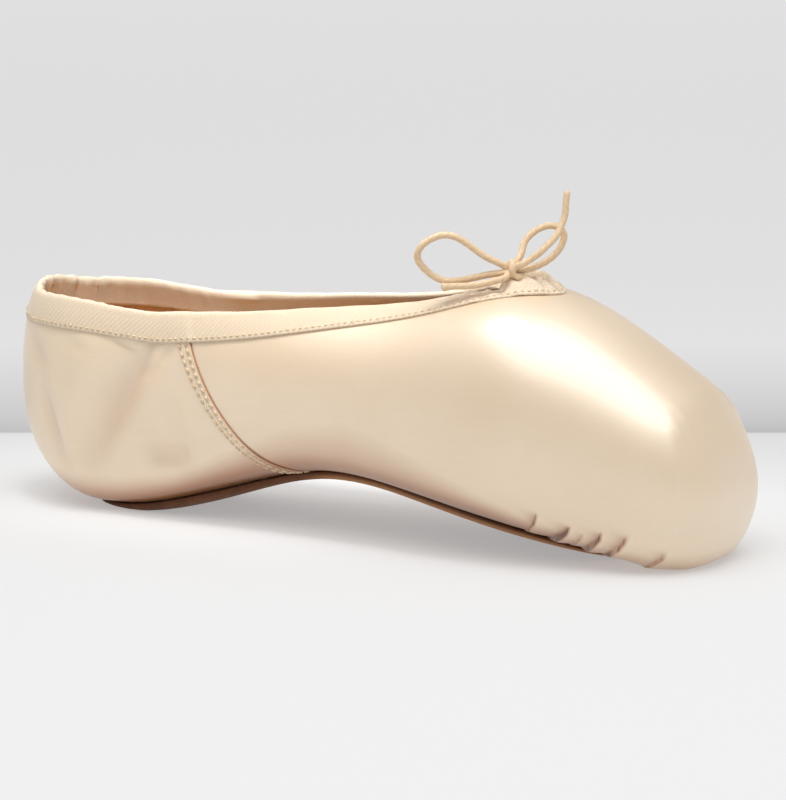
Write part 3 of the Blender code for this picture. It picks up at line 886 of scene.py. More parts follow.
def distance_to_line(points: Array, line: Array) -> tuple[Array, Array, Array]:
    """How points lie by a line of several stretches.

    Args:
        points: The points, with two or three numbers each in their last axis.
        line: The line's own points.

    Returns:
        The distance, the share of the way along the line, and the nearest stretch's index.
    """
    starts = run_lengths(line, 0)
    best = np.full(points.shape[:-1], np.inf)
    share = np.zeros(points.shape[:-1])
    which = np.zeros(points.shape[:-1], int)
    for k, length in enumerate(np.diff(starts)):
        heading = (line[k + 1] - line[k]) / length
        along = np.clip((points - line[k]) @ heading, 0, length)
        gap = np.linalg.norm(points - line[k] - along[..., None] * heading, axis=-1)
        nearer = gap < best
        best = np.where(nearer, gap, best)
        share = np.where(nearer, (starts[k] + along) / starts[-1], share)
        which = np.where(nearer, k, which)
    return best, share, which


def fold_height(grid: Array, folds: tuple[Fold, ...]) -> Array:
    """How far the folds move each point of a grid outwards, in metres."""
    height = np.zeros(grid.shape[:-1])
    side_view = grid[..., [0, 2]] / MM
    for fold in folds:
        gap, share, _ = distance_to_line(side_view, np.array(fold.points))
        form = bell(gap, fold.width_mm)
        if fold.taper:
            form = form * np.sqrt(np.clip(np.sin(np.pi * (0.12 + 0.76 * share)), 0, 1))
        if fold.side is not Side.BOTH:
            form = form * smooth_step(grid[..., 1] * fold.side.value / (4 * MM) + 0.5)
        height += form * fold.depth_mm * MM
    return height


def trough_shade(grid: Array, folds: tuple[Fold, ...]) -> Array:
    """How shaded each point is by the troughs it lies in."""
    troughs = tuple(fold for fold in folds if fold.depth_mm < 0)
    return np.clip(-fold_height(grid, troughs) / MM * 0.055, 0, 0.15)


def pleat_height(grid: Array, pleats: tuple[Pleat, ...]) -> tuple[Array, Array]:
    """Raises the satin behind each pleat's line and drops it in front.

    Args:
        grid: The satin's points in metres.
        pleats: The pleats of the near side; the far side has their mirror.

    Returns:
        How far each point moves outwards, and how much painted shade it gets along the line and in the tuck,
        from 0 to 1.
    """
    height = np.zeros(grid.shape[:-1])
    shade = np.zeros(grid.shape[:-1])
    for places in (grid / MM, grid / MM * MIRROR):
        for pleat in pleats:
            line = np.array(pleat.points)
            gap, share, which = distance_to_line(places, line)
            heading = unit(np.diff(line, axis=0))[which]
            nearest = line[which] + heading * ((places - line[which]) * heading).sum(-1, keepdims=True)
            outward = unit(nearest * (0, 1, 1) - (0, 0, pleat.middle_mm))
            toe_side = (np.cross(heading, outward) * (places - nearest)).sum(-1) <= 0
            strength = smooth_step(share / pleat.fade_in) * (places[..., 1] < 0)
            swell = pleat.swell_share * bell(gap, pleat.swell_mm) * toe_side
            sink = -pleat.sink_share * bell(gap, 0.7 * pleat.swell_mm) * ~toe_side
            by_edge = 1 - 0.7 * smooth_step((share - 0.5) / 0.4)
            height += (swell + sink) * strength * by_edge * pleat.height_mm * MM
            # Painted shade: dark along the pleat's line and fading into the tuck behind it
            tuck_shade = 0.5 * np.exp(-gap / pleat.tuck_mm) * ~toe_side
            dark = np.maximum(bell(gap, pleat.line_mm), tuck_shade)
            shade = np.maximum(shade, dark * min(pleat.height_mm, 1.0) * strength)
    return height, shade


# The shoe's sub-assemblies


@dataclass
class SatinUpper:
    """The satin upper: the vamp, and the heel panel that laps over it at both side seams."""

    last: Last
    satin: bpy.types.Material
    lining: bpy.types.Material
    thread: bpy.types.Material
    seam: float = 0.35
    lap: float = 0.018
    lap_step: float = 0.6 * MM
    lap_fade: float = 14 * MM
    lap_rise: float = 6 * MM
    satin_thickness: float = 0.45 * MM
    hem_layers: float = 1.6
    lining_thickness: float = 0.35 * MM
    quarter_wall: float = 1.3 * MM
    box_wall: float = 3.0 * MM
    box_start_share: float = 0.76
    box_end_share: float = 0.86
    platform_from: float = 221 * MM
    platform_fade: float = 6 * MM
    floor_gap: float = 0.02 * MM
    sewn_rows: tuple[tuple[float, float], ...] = ((1.7 * MM, 0.0), (4.0 * MM, 0.5))
    stitch_pitch: float = 2.5 * MM
    stitch_length: float = 1.6 * MM
    stitch_width: float = 0.18 * MM
    edge_fold: float = 0.5 * MM
    close_columns: float = 0.045
    ridge_height: float = 0.22 * MM
    ridge_behind: float = 0.010
    ridge_width: float = 0.006
    ridge_from_row: int = 8
    # Painted shade where the satin turns under the foot: how high it reaches and how strong it is along the
    # shoe
    underside_shade_rise: float = 1.3
    underside_shade_table: Table = Table(
        ("along_mm", "top_mm", "strength"),
        (
            (5.0, 12.5, 0.34), (20.0, 12.0, 0.56), (45.0, 12.0, 0.68), (62.0, 14.5, 0.76),
            (76.0, 20.5, 0.82), (92.0, 28.0, 0.76), (106.0, 34.0, 0.72), (121.0, 36.0, 0.70),
            (135.0, 33.0, 0.74), (151.0, 27.0, 0.82), (167.0, 20.5, 0.86), (182.0, 14.5, 0.66),
            (200.0, 9.0, 0.46), (216.0, 6.5, 0.36), (228.0, 5.5, 0.28),
        ),
    )

    def wall(self, x: Array) -> Array:
        """The whole wall's thickness: more in the stiffened box."""
        past = x / self.last.length - self.box_start_share
        in_box = smooth_step(past / (self.box_end_share - self.box_start_share))
        return self.quarter_wall + (self.box_wall - self.quarter_wall) * in_box

    def soften_platform(self, grid: Array) -> Array:
        """Eases the rim of the flat platform, as the satin stretched over it does."""
        share = smooth_step((grid[..., 0] - self.platform_from) / self.platform_fade)[..., None]
        for _ in range(60):
            middle = grid.copy()
            middle[1:-1] = (grid[2:] + grid[:-2]) / 2
            middle[:, 1:-1] = (middle[:, 2:] + middle[:, :-2] + 2 * middle[:, 1:-1]) / 4
            grid = grid + (middle - grid) * share * 0.6
        return grid

    def underside_shade(self, grid: Array, margin: int) -> Array:
        """How much painted shade the satin gets where it turns under the foot, growing towards its lower
        edge.
        """
        along, top, strength = (self.underside_shade_table.column(name) for name in self.underside_shade_table.columns)
        x = grid[..., 0] / MM
        edge = grid[:, margin:margin + 1, 2] / MM
        limit = np.maximum(np.interp(x, along, top), edge + 2.5)
        share = np.clip((limit - grid[..., 2] / MM) / (limit - edge), 0, 1)
        share[:, :margin] = 1
        return share**self.underside_shade_rise * np.interp(x, along, strength)

    def lay_panel(
        self, name: str, grid: Array, height: Array, shade: Array, thickness: float, *replaced: str
    ) -> None:
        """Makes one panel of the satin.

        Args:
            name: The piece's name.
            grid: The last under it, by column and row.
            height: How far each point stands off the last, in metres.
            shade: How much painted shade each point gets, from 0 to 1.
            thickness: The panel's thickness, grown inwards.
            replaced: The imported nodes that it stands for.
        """
        grid = grid + grid_normals(grid, False) * height[..., None]
        grid[..., 2] = np.maximum(grid[..., 2], self.floor_gap)
        piece = cloth_from_grid(name, self.last.to_model(grid), False, shade)
        thicken(piece, thickness)
        dress(piece, self.satin, "satin", *replaced)

    def vamp(self) -> None:
        """Makes the front panel, from one side seam round the toe to the other, drawn in under the toe."""
        # Columns stand closest where the pleats are
        side = stations(
            (self.seam - self.lap, 0.66, 34), (0.66, 0.70, 12), (0.70, 0.93, 168), (0.93, 1.0, 30)
        )
        around = np.concatenate([side[:-1], 2 - side[::-1]])
        under = np.linspace(0, 1, 9)[:-1]
        half = self.last.columns(side, under, stations((0.0, 0.2, 36), (0.2, 1.0, 40)))
        grid = self.soften_platform(np.concatenate([half[:-1], half[::-1] * MIRROR]))
        tucks, shade = pleat_height(grid, TOE_PLEATS)
        shade = np.maximum(shade, self.underside_shade(grid, len(under)))
        # The heel panel's lap shows through as a low ridge beside the seam
        seam_gap = np.abs(1 - np.abs(around - 1)) - self.seam
        ridge = bell(seam_gap[:, None] - self.ridge_behind, self.ridge_width) * self.ridge_height
        ridge = ridge * (np.arange(grid.shape[1]) >= len(under) + self.ridge_from_row)
        height = fold_height(grid, VAMP_FOLDS) + tucks + ridge
        self.lay_panel("vamp_satin", grid, height, shade, self.satin_thickness, "upper")

    def heel_grid(self, around: Array, under: Array, up: Array) -> Array:
        """The heel panel's outer surface before its folds, standing proud at the seams."""
        grid = self.last.columns(around, under, up)
        rows = len(under)
        edge = self.last.columns(np.array([self.seam]), under, up)[0]
        distance = np.linalg.norm((grid - edge) * (1, 0, 1), axis=-1)
        height = np.linalg.norm(grid - grid[:, rows:rows + 1], axis=-1)
        above = np.arange(grid.shape[1]) >= rows
        share = (1 - smooth_step(distance / self.lap_fade)) * smooth_step(height / self.lap_rise)
        return grid + grid_normals(grid, False) * (self.lap_step * share * above)[..., None]

    def heel_panel(self) -> None:
        """Makes the back panel, folded under at its edges over the vamp, with two rows of sewing by each."""
        close = self.seam - self.close_columns
        side = stations((0.0, close, 62), (close, self.seam, 33))
        around = np.concatenate([-side[:0:-1], side])
        under = np.linspace(0, 1, 10)[:-1]
        grid = self.heel_grid(around, under, np.linspace(0, 1, 84))
        run = run_lengths(grid, 0)
        behind = np.minimum(run[-1] - run, run)
        pucker, shade = self.sewing_pucker(grid, behind, len(under))
        shade = np.maximum(shade, self.underside_shade(grid, len(under)))
        shade = np.maximum(shade, trough_shade(grid, HEEL_FOLDS))
        # The folded edge turns down to the vamp
        edge_roll = -self.edge_fold * np.clip(1 - behind / self.edge_fold, 0, 1) ** 2
        height = fold_height(grid, HEEL_FOLDS) + pucker + edge_roll
        self.lay_panel("heel_panel_satin", grid, height, shade, self.satin_thickness * self.hem_layers)

    def sewing_pucker(self, grid: Array, behind: Array, margin: int) -> tuple[Array, Array]:
        """Dents the heel panel along the two sewn rows by each seam.

        Args:
            grid: The panel's points.
            behind: How far behind its seam edge each point lies, in metres.
            margin: How many of its rows lie under the foot.

        Returns:
            How far each point moves outwards, and how much painted shade it gets in the stitch dents and
            along the folded edge.
        """
        up = run_lengths(grid, 1)
        pucker = np.zeros(grid.shape[:-1])
        shade = np.zeros(grid.shape[:-1])
        for row, offset in self.sewn_rows:
            across = bell(behind - row, 0.45 * MM)
            beat = 0.5 + 0.5 * np.cos(2 * np.pi * (up / self.stitch_pitch + offset))
            pucker -= across * (0.07 + 0.12 * beat) * MM
            # Painted shade in the dent at each stitch
            shade = np.maximum(shade, across * beat**3 * 0.10)
        # Painted shadow along the folded edge where it laps over the vamp
        shade = np.maximum(shade, (behind < 0.45 * MM) * 0.66)
        middle = sum(row for row, _ in self.sewn_rows) / 2
        puff = bell(behind - middle, 0.7 * MM) * 0.14 * MM
        above = (np.arange(grid.shape[1]) >= margin) * 1.0
        return (pucker + puff) * above, shade * above

    def lining_cloth(self) -> None:
        """Makes the lining, on the inner face of the wall from the turned-in edge to the collar."""
        half = self.last.columns(np.linspace(0, 1, 121), np.linspace(0, 1, 8)[:-1], np.linspace(0, 1, 50))
        grid = np.concatenate([half[:0:-1] * MIRROR, half])
        ripple = 0.12 * MM * np.sin(grid[..., 0] / (7 * MM)) * np.sin(grid[..., 2] / (9 * MM))
        inward = self.wall(grid[..., 0]) - self.lining_thickness + ripple - fold_height(grid, HEEL_FOLDS)
        grid = grid - grid_normals(grid, False) * inward[..., None]
        piece = cloth_from_grid("cotton_lining", self.last.to_model(grid), True)
        thicken(piece, self.lining_thickness)
        dress(piece, self.lining, "satin")

    def seam_line(self, behind: float) -> tuple[Array, Array]:
        """A line on the heel panel at a distance behind its near seam edge, and its normals."""
        around = np.linspace(self.seam - 0.06, self.seam, 60)
        grid = self.heel_grid(around, np.array([0.9]), np.linspace(0, 1, 160))
        normals = grid_normals(grid, False)
        run = run_lengths(grid, 0)
        left = (run[-1] - run)[::-1]
        rows = range(1, grid.shape[1])
        line = [read_line(behind, left[:, j], grid[::-1, j]) for j in rows]
        outward = [read_line(behind, left[:, j], normals[::-1, j]) for j in rows]
        return np.array(line), unit(np.array(outward))

    def seam_stitches(self) -> None:
        """Makes the two rows of stitches by each side seam."""
        sizes = (self.stitch_length, self.stitch_pitch, self.stitch_width)
        stitches = StitchRow("seam_stitches", self.thread, self.last, *sizes)
        for row, offset in self.sewn_rows:
            line, outward = self.seam_line(row)
            stitches.add(line, outward, offset)
            stitches.add(line * MIRROR, outward * MIRROR, offset)
        stitches.build()

    def build(self) -> None:
        """Makes the upper's pieces."""
        self.vamp()
        self.heel_panel()
        self.lining_cloth()
        self.seam_stitches()


@dataclass
class StitchRow:
    """Stitches of one thread, copied along lines and joined in one mesh."""

    name: str
    thread: bpy.types.Material
    last: Last
    length: float
    pitch: float
    width: float
    sink: float = 0.05 * MM
    made: list[tuple[Array, Array, Array]] = field(default_factory=list)

    def add(self, line: Array, outward: Array, offset: float = 0.0) -> None:
        """Sets stitches along a line that has a normal at each point."""
        run = run_lengths(line, 0)
        places = np.arange(self.pitch * (0.5 + offset), run[-1] - self.pitch / 2, self.pitch)
        centre = read_line(places, run, line)
        ahead = read_line(places + 0.2 * MM, run, line)
        self.made.extend(zip(centre, unit(ahead - centre), unit(read_line(places, run, outward))))

    def stitch(self) -> tuple[Array, list[tuple[int, ...]]]:
        """One stitch at the origin, lying along x, as points and faces."""
        clear_selection()
        bpy.ops.mesh.primitive_cylinder_add(vertices=6, radius=self.width / 2, depth=self.length * 0.6)
        piece = bpy.context.object
        bpy.ops.object.mode_set(mode="EDIT")
        bpy.ops.mesh.select_all(action="DESELECT")
        bpy.ops.object.mode_set(mode="OBJECT")
        for face in piece.data.polygons:
            face.select = len(face.vertices) == 6
        bpy.ops.object.mode_set(mode="EDIT")
        bpy.ops.mesh.inset(thickness=self.width * 0.18, depth=self.length * 0.2)
        bpy.ops.object.mode_set(mode="OBJECT")
        piece.data.transform(Matrix.Rotation(math.pi / 2, 4, "Y"))
        points = np.array([tuple(v.co) for v in piece.data.vertices])
        points[:, 2] -= (points[:, 0] / (self.length / 2)) ** 2 * self.width * 0.6
        faces = [tuple(face.vertices) for face in piece.data.polygons]
        bpy.data.objects.remove(piece, do_unlink=True)
        return points, faces

    def build(self) -> None:
        """Joins all the stitches in one piece."""
        points, faces = self.stitch()
        places = []
        joined = []
        for number, (centre, heading, normal) in enumerate(self.made):
            across = unit(np.cross(normal, heading))
            turned = points @ np.stack([np.cross(across, normal), across, normal])
            places.append(self.last.to_model(centre + normal * (self.width / 2 - self.sink)) + turned)
            joined += [tuple(number * len(points) + v for v in face) for face in faces]
        mesh = bpy.data.meshes.new(self.name)
        mesh.from_pydata(np.concatenate(places).tolist(), [], joined)
        piece = bpy.data.objects.new(self.name, mesh)
        bpy.context.scene.collection.objects.link(piece)
        mend_mesh(piece)
        bpy.ops.object.shade_smooth()
        dress(piece, self.thread, "satin")


@dataclass
class CollarTape:
    """The tape folded over the collar's edge, gathered on its drawstring at the throat and the heel."""

    last: Last
    tape: bpy.types.Material
    thread: bpy.types.Material
    upper: SatinUpper
    thickness: float = 0.45 * MM
    gap: float = 0.12 * MM
    outer_leaf: float = 7.8 * MM
    inner_leaf: float = 7.0 * MM
    casing_rise: float = 1.7 * MM
    throat_bulk: float = 1.2 * MM
    outer_rows: int = 12
    fold_rows: int = 13
    inner_rows: int = 8
    stitch_row: int = 2
    near_phase: float = 0.8
    far_phase: float = 2.1
    stitch_length: float = 1.0 * MM
    stitch_pitch: float = 2.0 * MM
    stitch_width: float = 0.22 * MM
    # Where each change begins round the shoe, from 0 at the heel to 1 at the toe, and how long it takes
    throat: tuple[float, float] = (0.70, 0.12)
    front: tuple[float, float] = (0.83, 0.07)
    bulk: tuple[float, float] = (0.86, 0.08)
    quarter: tuple[float, float] = (0.06, 0.22)

    def grown(self, around: Array, change: tuple[float, float]) -> Array:
        """How far a change has come at each place round the shoe, from 0 to 1."""
        start, length = change
        return smooth_step((around - start) / length)

    def profile(self, around: Array) -> Array:
        """The tape's outer surface from its outer edge over the fold to its inner edge."""
        grid = self.last.columns(around, np.array([]), np.linspace(0.6, 1, 60))
        normals = grid_normals(grid, False)[:, ::-1]
        grid = grid[:, ::-1]
        depths = run_lengths(grid, 1)
        # The heel panel under the tape stands proud by its seam
        edge = grid[np.argmin(np.abs(around - self.upper.seam))]
        distance = np.linalg.norm((grid - edge) * (1, 0, 1), axis=-1)
        behind = (around <= self.upper.seam + 0.002)[:, None]
        lap = self.upper.lap_step * (1 - smooth_step(distance / self.upper.lap_fade)) * behind

        def read(depth: Array, values: Array) -> Array:
            """The values at a depth below the collar, for each column."""
            return np.array([read_line(depth[i], depths[i], values[i]) for i in range(len(values))])

        def off(depth: Array, outward: Array) -> Array:
            """Points at a depth below the collar that stand off the last."""
            return read(depth, grid) + read(depth, normals) * outward[:, None]

        def outer(depth: Array) -> Array:
            """How far the tape's outer face stands off the last."""
            return self.gap + read(depth, lap[..., None])[:, 0] + self.thickness

        zero = np.zeros(len(around))
        over = unit(grid[:, 0] - read(zero + 2 * MM, grid))
        middle = off(zero, zero - self.upper.quarter_wall / 2)
        inner_face = zero - self.upper.quarter_wall - self.gap - self.thickness
        rows = []
        for share in np.linspace(1, 0, self.outer_rows + 1)[:-1]:
            depth = zero + self.outer_leaf * share
            rows.append(off(depth, outer(depth)))
        half_width = outer(zero) + self.upper.quarter_wall / 2
        bulk = self.throat_bulk * self.grown(around, self.bulk)
        out_normal = read(zero, normals)
        for turn in np.linspace(0, np.pi, self.fold_rows):
            across = out_normal * (np.cos(turn) * half_width)[:, None]
            rise = over * (np.sin(turn) * (self.casing_rise + bulk + self.thickness))[:, None]
            rows.append(middle + across + rise)
        for share in np.linspace(0, 1, self.inner_rows + 1)[1:]:
            rows.append(off(zero + self.inner_leaf * share, inner_face))
        return np.stack(rows, axis=1)

    def gathers(self, around: Array, grid: Array, phase: float) -> tuple[Array, Array]:
        """Bunches the tape where the drawstring pulls it in.

        Args:
            around: The place round the shoe of each column.
            grid: The tape's outer surface before it is gathered.
            phase: Where its waves begin, so that the two sides differ.

        Returns:
            The moved points, and how much painted shade each one gets.
        """
        normals = grid_normals(grid, False)
        run = run_lengths(grid, 0)[:, self.outer_rows, None] / MM
        rows = np.arange(grid.shape[1])
        throat = self.grown(around, self.throat)[:, None]
        front = self.grown(around, self.front)[:, None]
        heel = 1 - self.grown(around, self.quarter)[:, None]
        by_fold = bell(rows - 16, 9.0)
        inside = bell(rows - 24, 7.0)
        outside = 1 - smooth_step((rows - 13) / 5)
        # The waves' lengths are in mm along the fold
        bunch = np.sin(run / 0.78 + phase + 1.2 * np.sin(run / 4.1)) * (0.6 + 0.4 * np.sin(run / 2.9 + phase))
        slow = np.sin(run / 2.3 + phase) + 0.5 * np.sin(run / 1.3 + 2 * phase)
        crinkle = np.sin(run / 0.42 + rows * 0.9) * np.sin(run / 1.7 + rows * 1.7 + phase)
        ruffle = throat * (0.60 * bunch + 0.42 * slow + 0.26 * crinkle) * (0.25 + 0.75 * by_fold)
        pinch = heel * (0.60 * np.sin(run / 0.9 + phase) + 0.4 * np.sin(run / 0.55)) * inside
        calm = 0.06 * np.sin(run / 2.2 + phase) * (1 - throat) * by_fold
        lift = throat * (0.45 * slow + 0.40 * bunch + 0.15 * crinkle) * by_fold
        swell = front * (1.9 + 0.9 * bunch + 0.6 * slow)
        swell = swell * smooth_step(rows / 9) * (1 - smooth_step((rows - 22) / 8))
        outward = unit(normals[:, :9].mean(axis=1, keepdims=True))
        moved = grid + (normals * (ruffle + pinch + calm)[..., None] + outward * swell[..., None]) * MM
        moved[..., 2] += lift * MM * np.clip(rows / self.outer_rows, 0, 1)
        # Painted shade: the outer face darker than the inner one, which stays paler as painted light, and
        # deeper in the throat's recesses and the heel's pinches
        recess = throat * np.clip(-(bunch + 0.5 * slow) / 1.6, 0, 1) * smooth_step(rows / 4)
        tucks = heel * np.clip(np.sin(run / 0.9), 0, 1) * inside
        return moved, outside * (0.26 - 0.15 * throat) + 0.34 * recess + 0.10 * tucks

    def build(self) -> None:
        """Makes the tape and the dotted row of stitches a little above its lower edge."""
        places = stations((0.0, 0.7, 110), (0.7, 1.0, 95))
        plain = self.profile(places)
        far, far_shade = self.gathers(places, plain, self.far_phase)
        # A flipped side would have its normals turned, so the near side is gathered first and flipped then
        near, near_shade = self.gathers(places, plain, self.near_phase)
        near = near * MIRROR
        for end in (0, -1):
            far[end] = near[end] = (far[end] + near[end]) / 2 * (1, 0, 1)
        grid = np.concatenate([near[:0:-1], far])
        shade = np.concatenate([near_shade[:0:-1], far_shade])
        piece = cloth_from_grid("collar_tape", self.last.to_model(grid), True, shade)
        thicken(piece, self.thickness)
        dress(piece, self.tape, "tape", "collar_binding")
        sizes = (self.stitch_length, self.stitch_pitch, self.stitch_width)
        stitches = StitchRow("tape_stitches", self.thread, self.last, *sizes)
        stitches.add(grid[:, self.stitch_row], grid_normals(grid, False)[:, self.stitch_row])
        stitches.build()


@dataclass
class Sole:
    """The leather outsole and the canvas-covered insole."""

    last: Last
    leather: bpy.types.Material
    canvas: bpy.types.Material
    upper: SatinUpper
    insole_thickness: float = 1.2 * MM
    insole_gap: float = 0.6 * MM
    outsole_edge: float = 1.2 * MM
    insole_edge: float = 0.8 * MM
    stations_along: int = 110
    pale_rim_width: float = 1.4 * MM
    pale_rim_blur: float = 0.8 * MM
    pale_rim_strength: float = 0.85
    pale_rim_from: float = 96 * MM
    pale_rim_fade: float = 16 * MM
    outsole_outline: Table = Table(
        ("along", "half_width"),
        (
            (0.116, 0.000), (0.122, 0.090), (0.140, 0.160), (0.170, 0.210), (0.220, 0.232), (0.280, 0.222),
            (0.360, 0.180), (0.450, 0.160), (0.550, 0.190), (0.650, 0.255), (0.740, 0.290), (0.800, 0.275),
            (0.840, 0.205), (0.862, 0.125), (0.872, 0.000),
        ),
    )
    insole_outline: Table = Table(
        ("along", "half_width"),
        (
            (0.058, 0.000), (0.066, 0.110), (0.095, 0.178), (0.150, 0.215), (0.250, 0.215), (0.350, 0.200),
            (0.450, 0.200), (0.550, 0.240), (0.650, 0.300), (0.740, 0.320), (0.810, 0.290), (0.870, 0.215),
            (0.905, 0.120), (0.918, 0.000),
        ),
    )

    def stations(self, outline: Table, count: int) -> tuple[Array, Array]:
        """Places along a sheet and half its width there, evenly spaced along its own outline."""
        x = outline.column("along") * self.last.length
        half = outline.column("half_width") * self.last.ball_width
        run = run_lengths(np.stack([x, half], -1), 0)
        at = np.linspace(0, run[-1], count)
        return natural_spline(run, x, at), np.maximum(natural_spline(run, half, at), 0)

    def sheet(self, name: str, outline: Table, near: Array, far: Array, rounding: float) -> bpy.types.Object:
        """A sheet with softly rounded edges that follows the underside of the last.

        Args:
            name: The piece's name.
            outline: The sheet's outline.
            near: The distance of its upper face from the last at each station.
            far: The distance of its lower face.
            rounding: How far in from the edge the faces begin to turn.

        Returns:
            The piece.
        """
        x, half = self.stations(outline, len(near))
        across = np.sin(np.linspace(-1, 1, 27) * math.pi / 2)
        grid_x = np.repeat(x[:, None], len(across), axis=1)
        y = half[:, None] * across
        inset = np.clip((half[:, None] - np.abs(y)) / rounding, 0, 1)
        ends = np.clip(np.minimum(x - x[0], x[-1] - x)[:, None] / rounding, 0, 1)
        bulge = np.sqrt(np.clip(1 - (1 - np.minimum(inset, ends)) ** 2, 0, 1))
        middle = (near + far)[:, None] / 2
        reach = (far - near)[:, None] / 2 * (0.35 + 0.65 * bulge)
        upper_side = self.last.underside_point(grid_x, y, middle - reach)
        lower_side = self.last.underside_point(grid_x, y, middle + reach)
        loops = np.concatenate([lower_side, upper_side[:, ::-1]], axis=1)
        loops[..., 2] = np.maximum(loops[..., 2], 0)
        loops = np.concatenate([loops, loops[:, :1]], axis=1)
        piece = cloth_from_grid(name, self.last.to_model(loops), True)
        points = np.array([v.co for v in piece.data.vertices]) + np.array([self.last.length / 2, 0, 0])
        set_attribute(piece, "rim", self.pale_rim_share(points, x, half, far))
        mend_mesh(piece, merge=0.01 * MM)
        return piece

    def pale_rim_share(self, points: Array, x: Array, half: Array, far: Array) -> Array:
        """How pale the sheet's lower rim is painted in front of the arch; the dark leather left above it is
        painted shadow under the satin.
        """
        wide = np.interp(points[:, 0], x, half)
        depth = self.last.underside_height(points[:, 0], points[:, 1]) - points[:, 2]
        share = depth / np.interp(points[:, 0], x, far)
        at_rim = smooth_step((np.abs(points[:, 1]) - wide + self.pale_rim_width) / self.pale_rim_blur)
        ahead = smooth_step((points[:, 0] - self.pale_rim_from) / self.pale_rim_fade)
        return at_rim * smooth_step((share - 0.45) / 0.25) * ahead * self.pale_rim_strength

    def build(self) -> None:
        """Makes the outsole and the insole."""
        x, _ = self.stations(self.outsole_outline, self.stations_along)
        gap = np.full(len(x), self.last.fit_gap)
        far = gap + self.last.sole_leather(x)
        outsole = self.sheet("sole_leather", self.outsole_outline, gap, far, self.outsole_edge)
        dress(outsole, self.leather, "sole_leather", "outsole")
        x, _ = self.stations(self.insole_outline, self.stations_along)
        lower = -(self.upper.wall(x) + self.insole_gap)
        top = lower - self.insole_thickness
        insole = self.sheet("insole_canvas", self.insole_outline, top, lower, self.insole_edge)
        dress(insole, self.canvas, "insole_board", "insole")


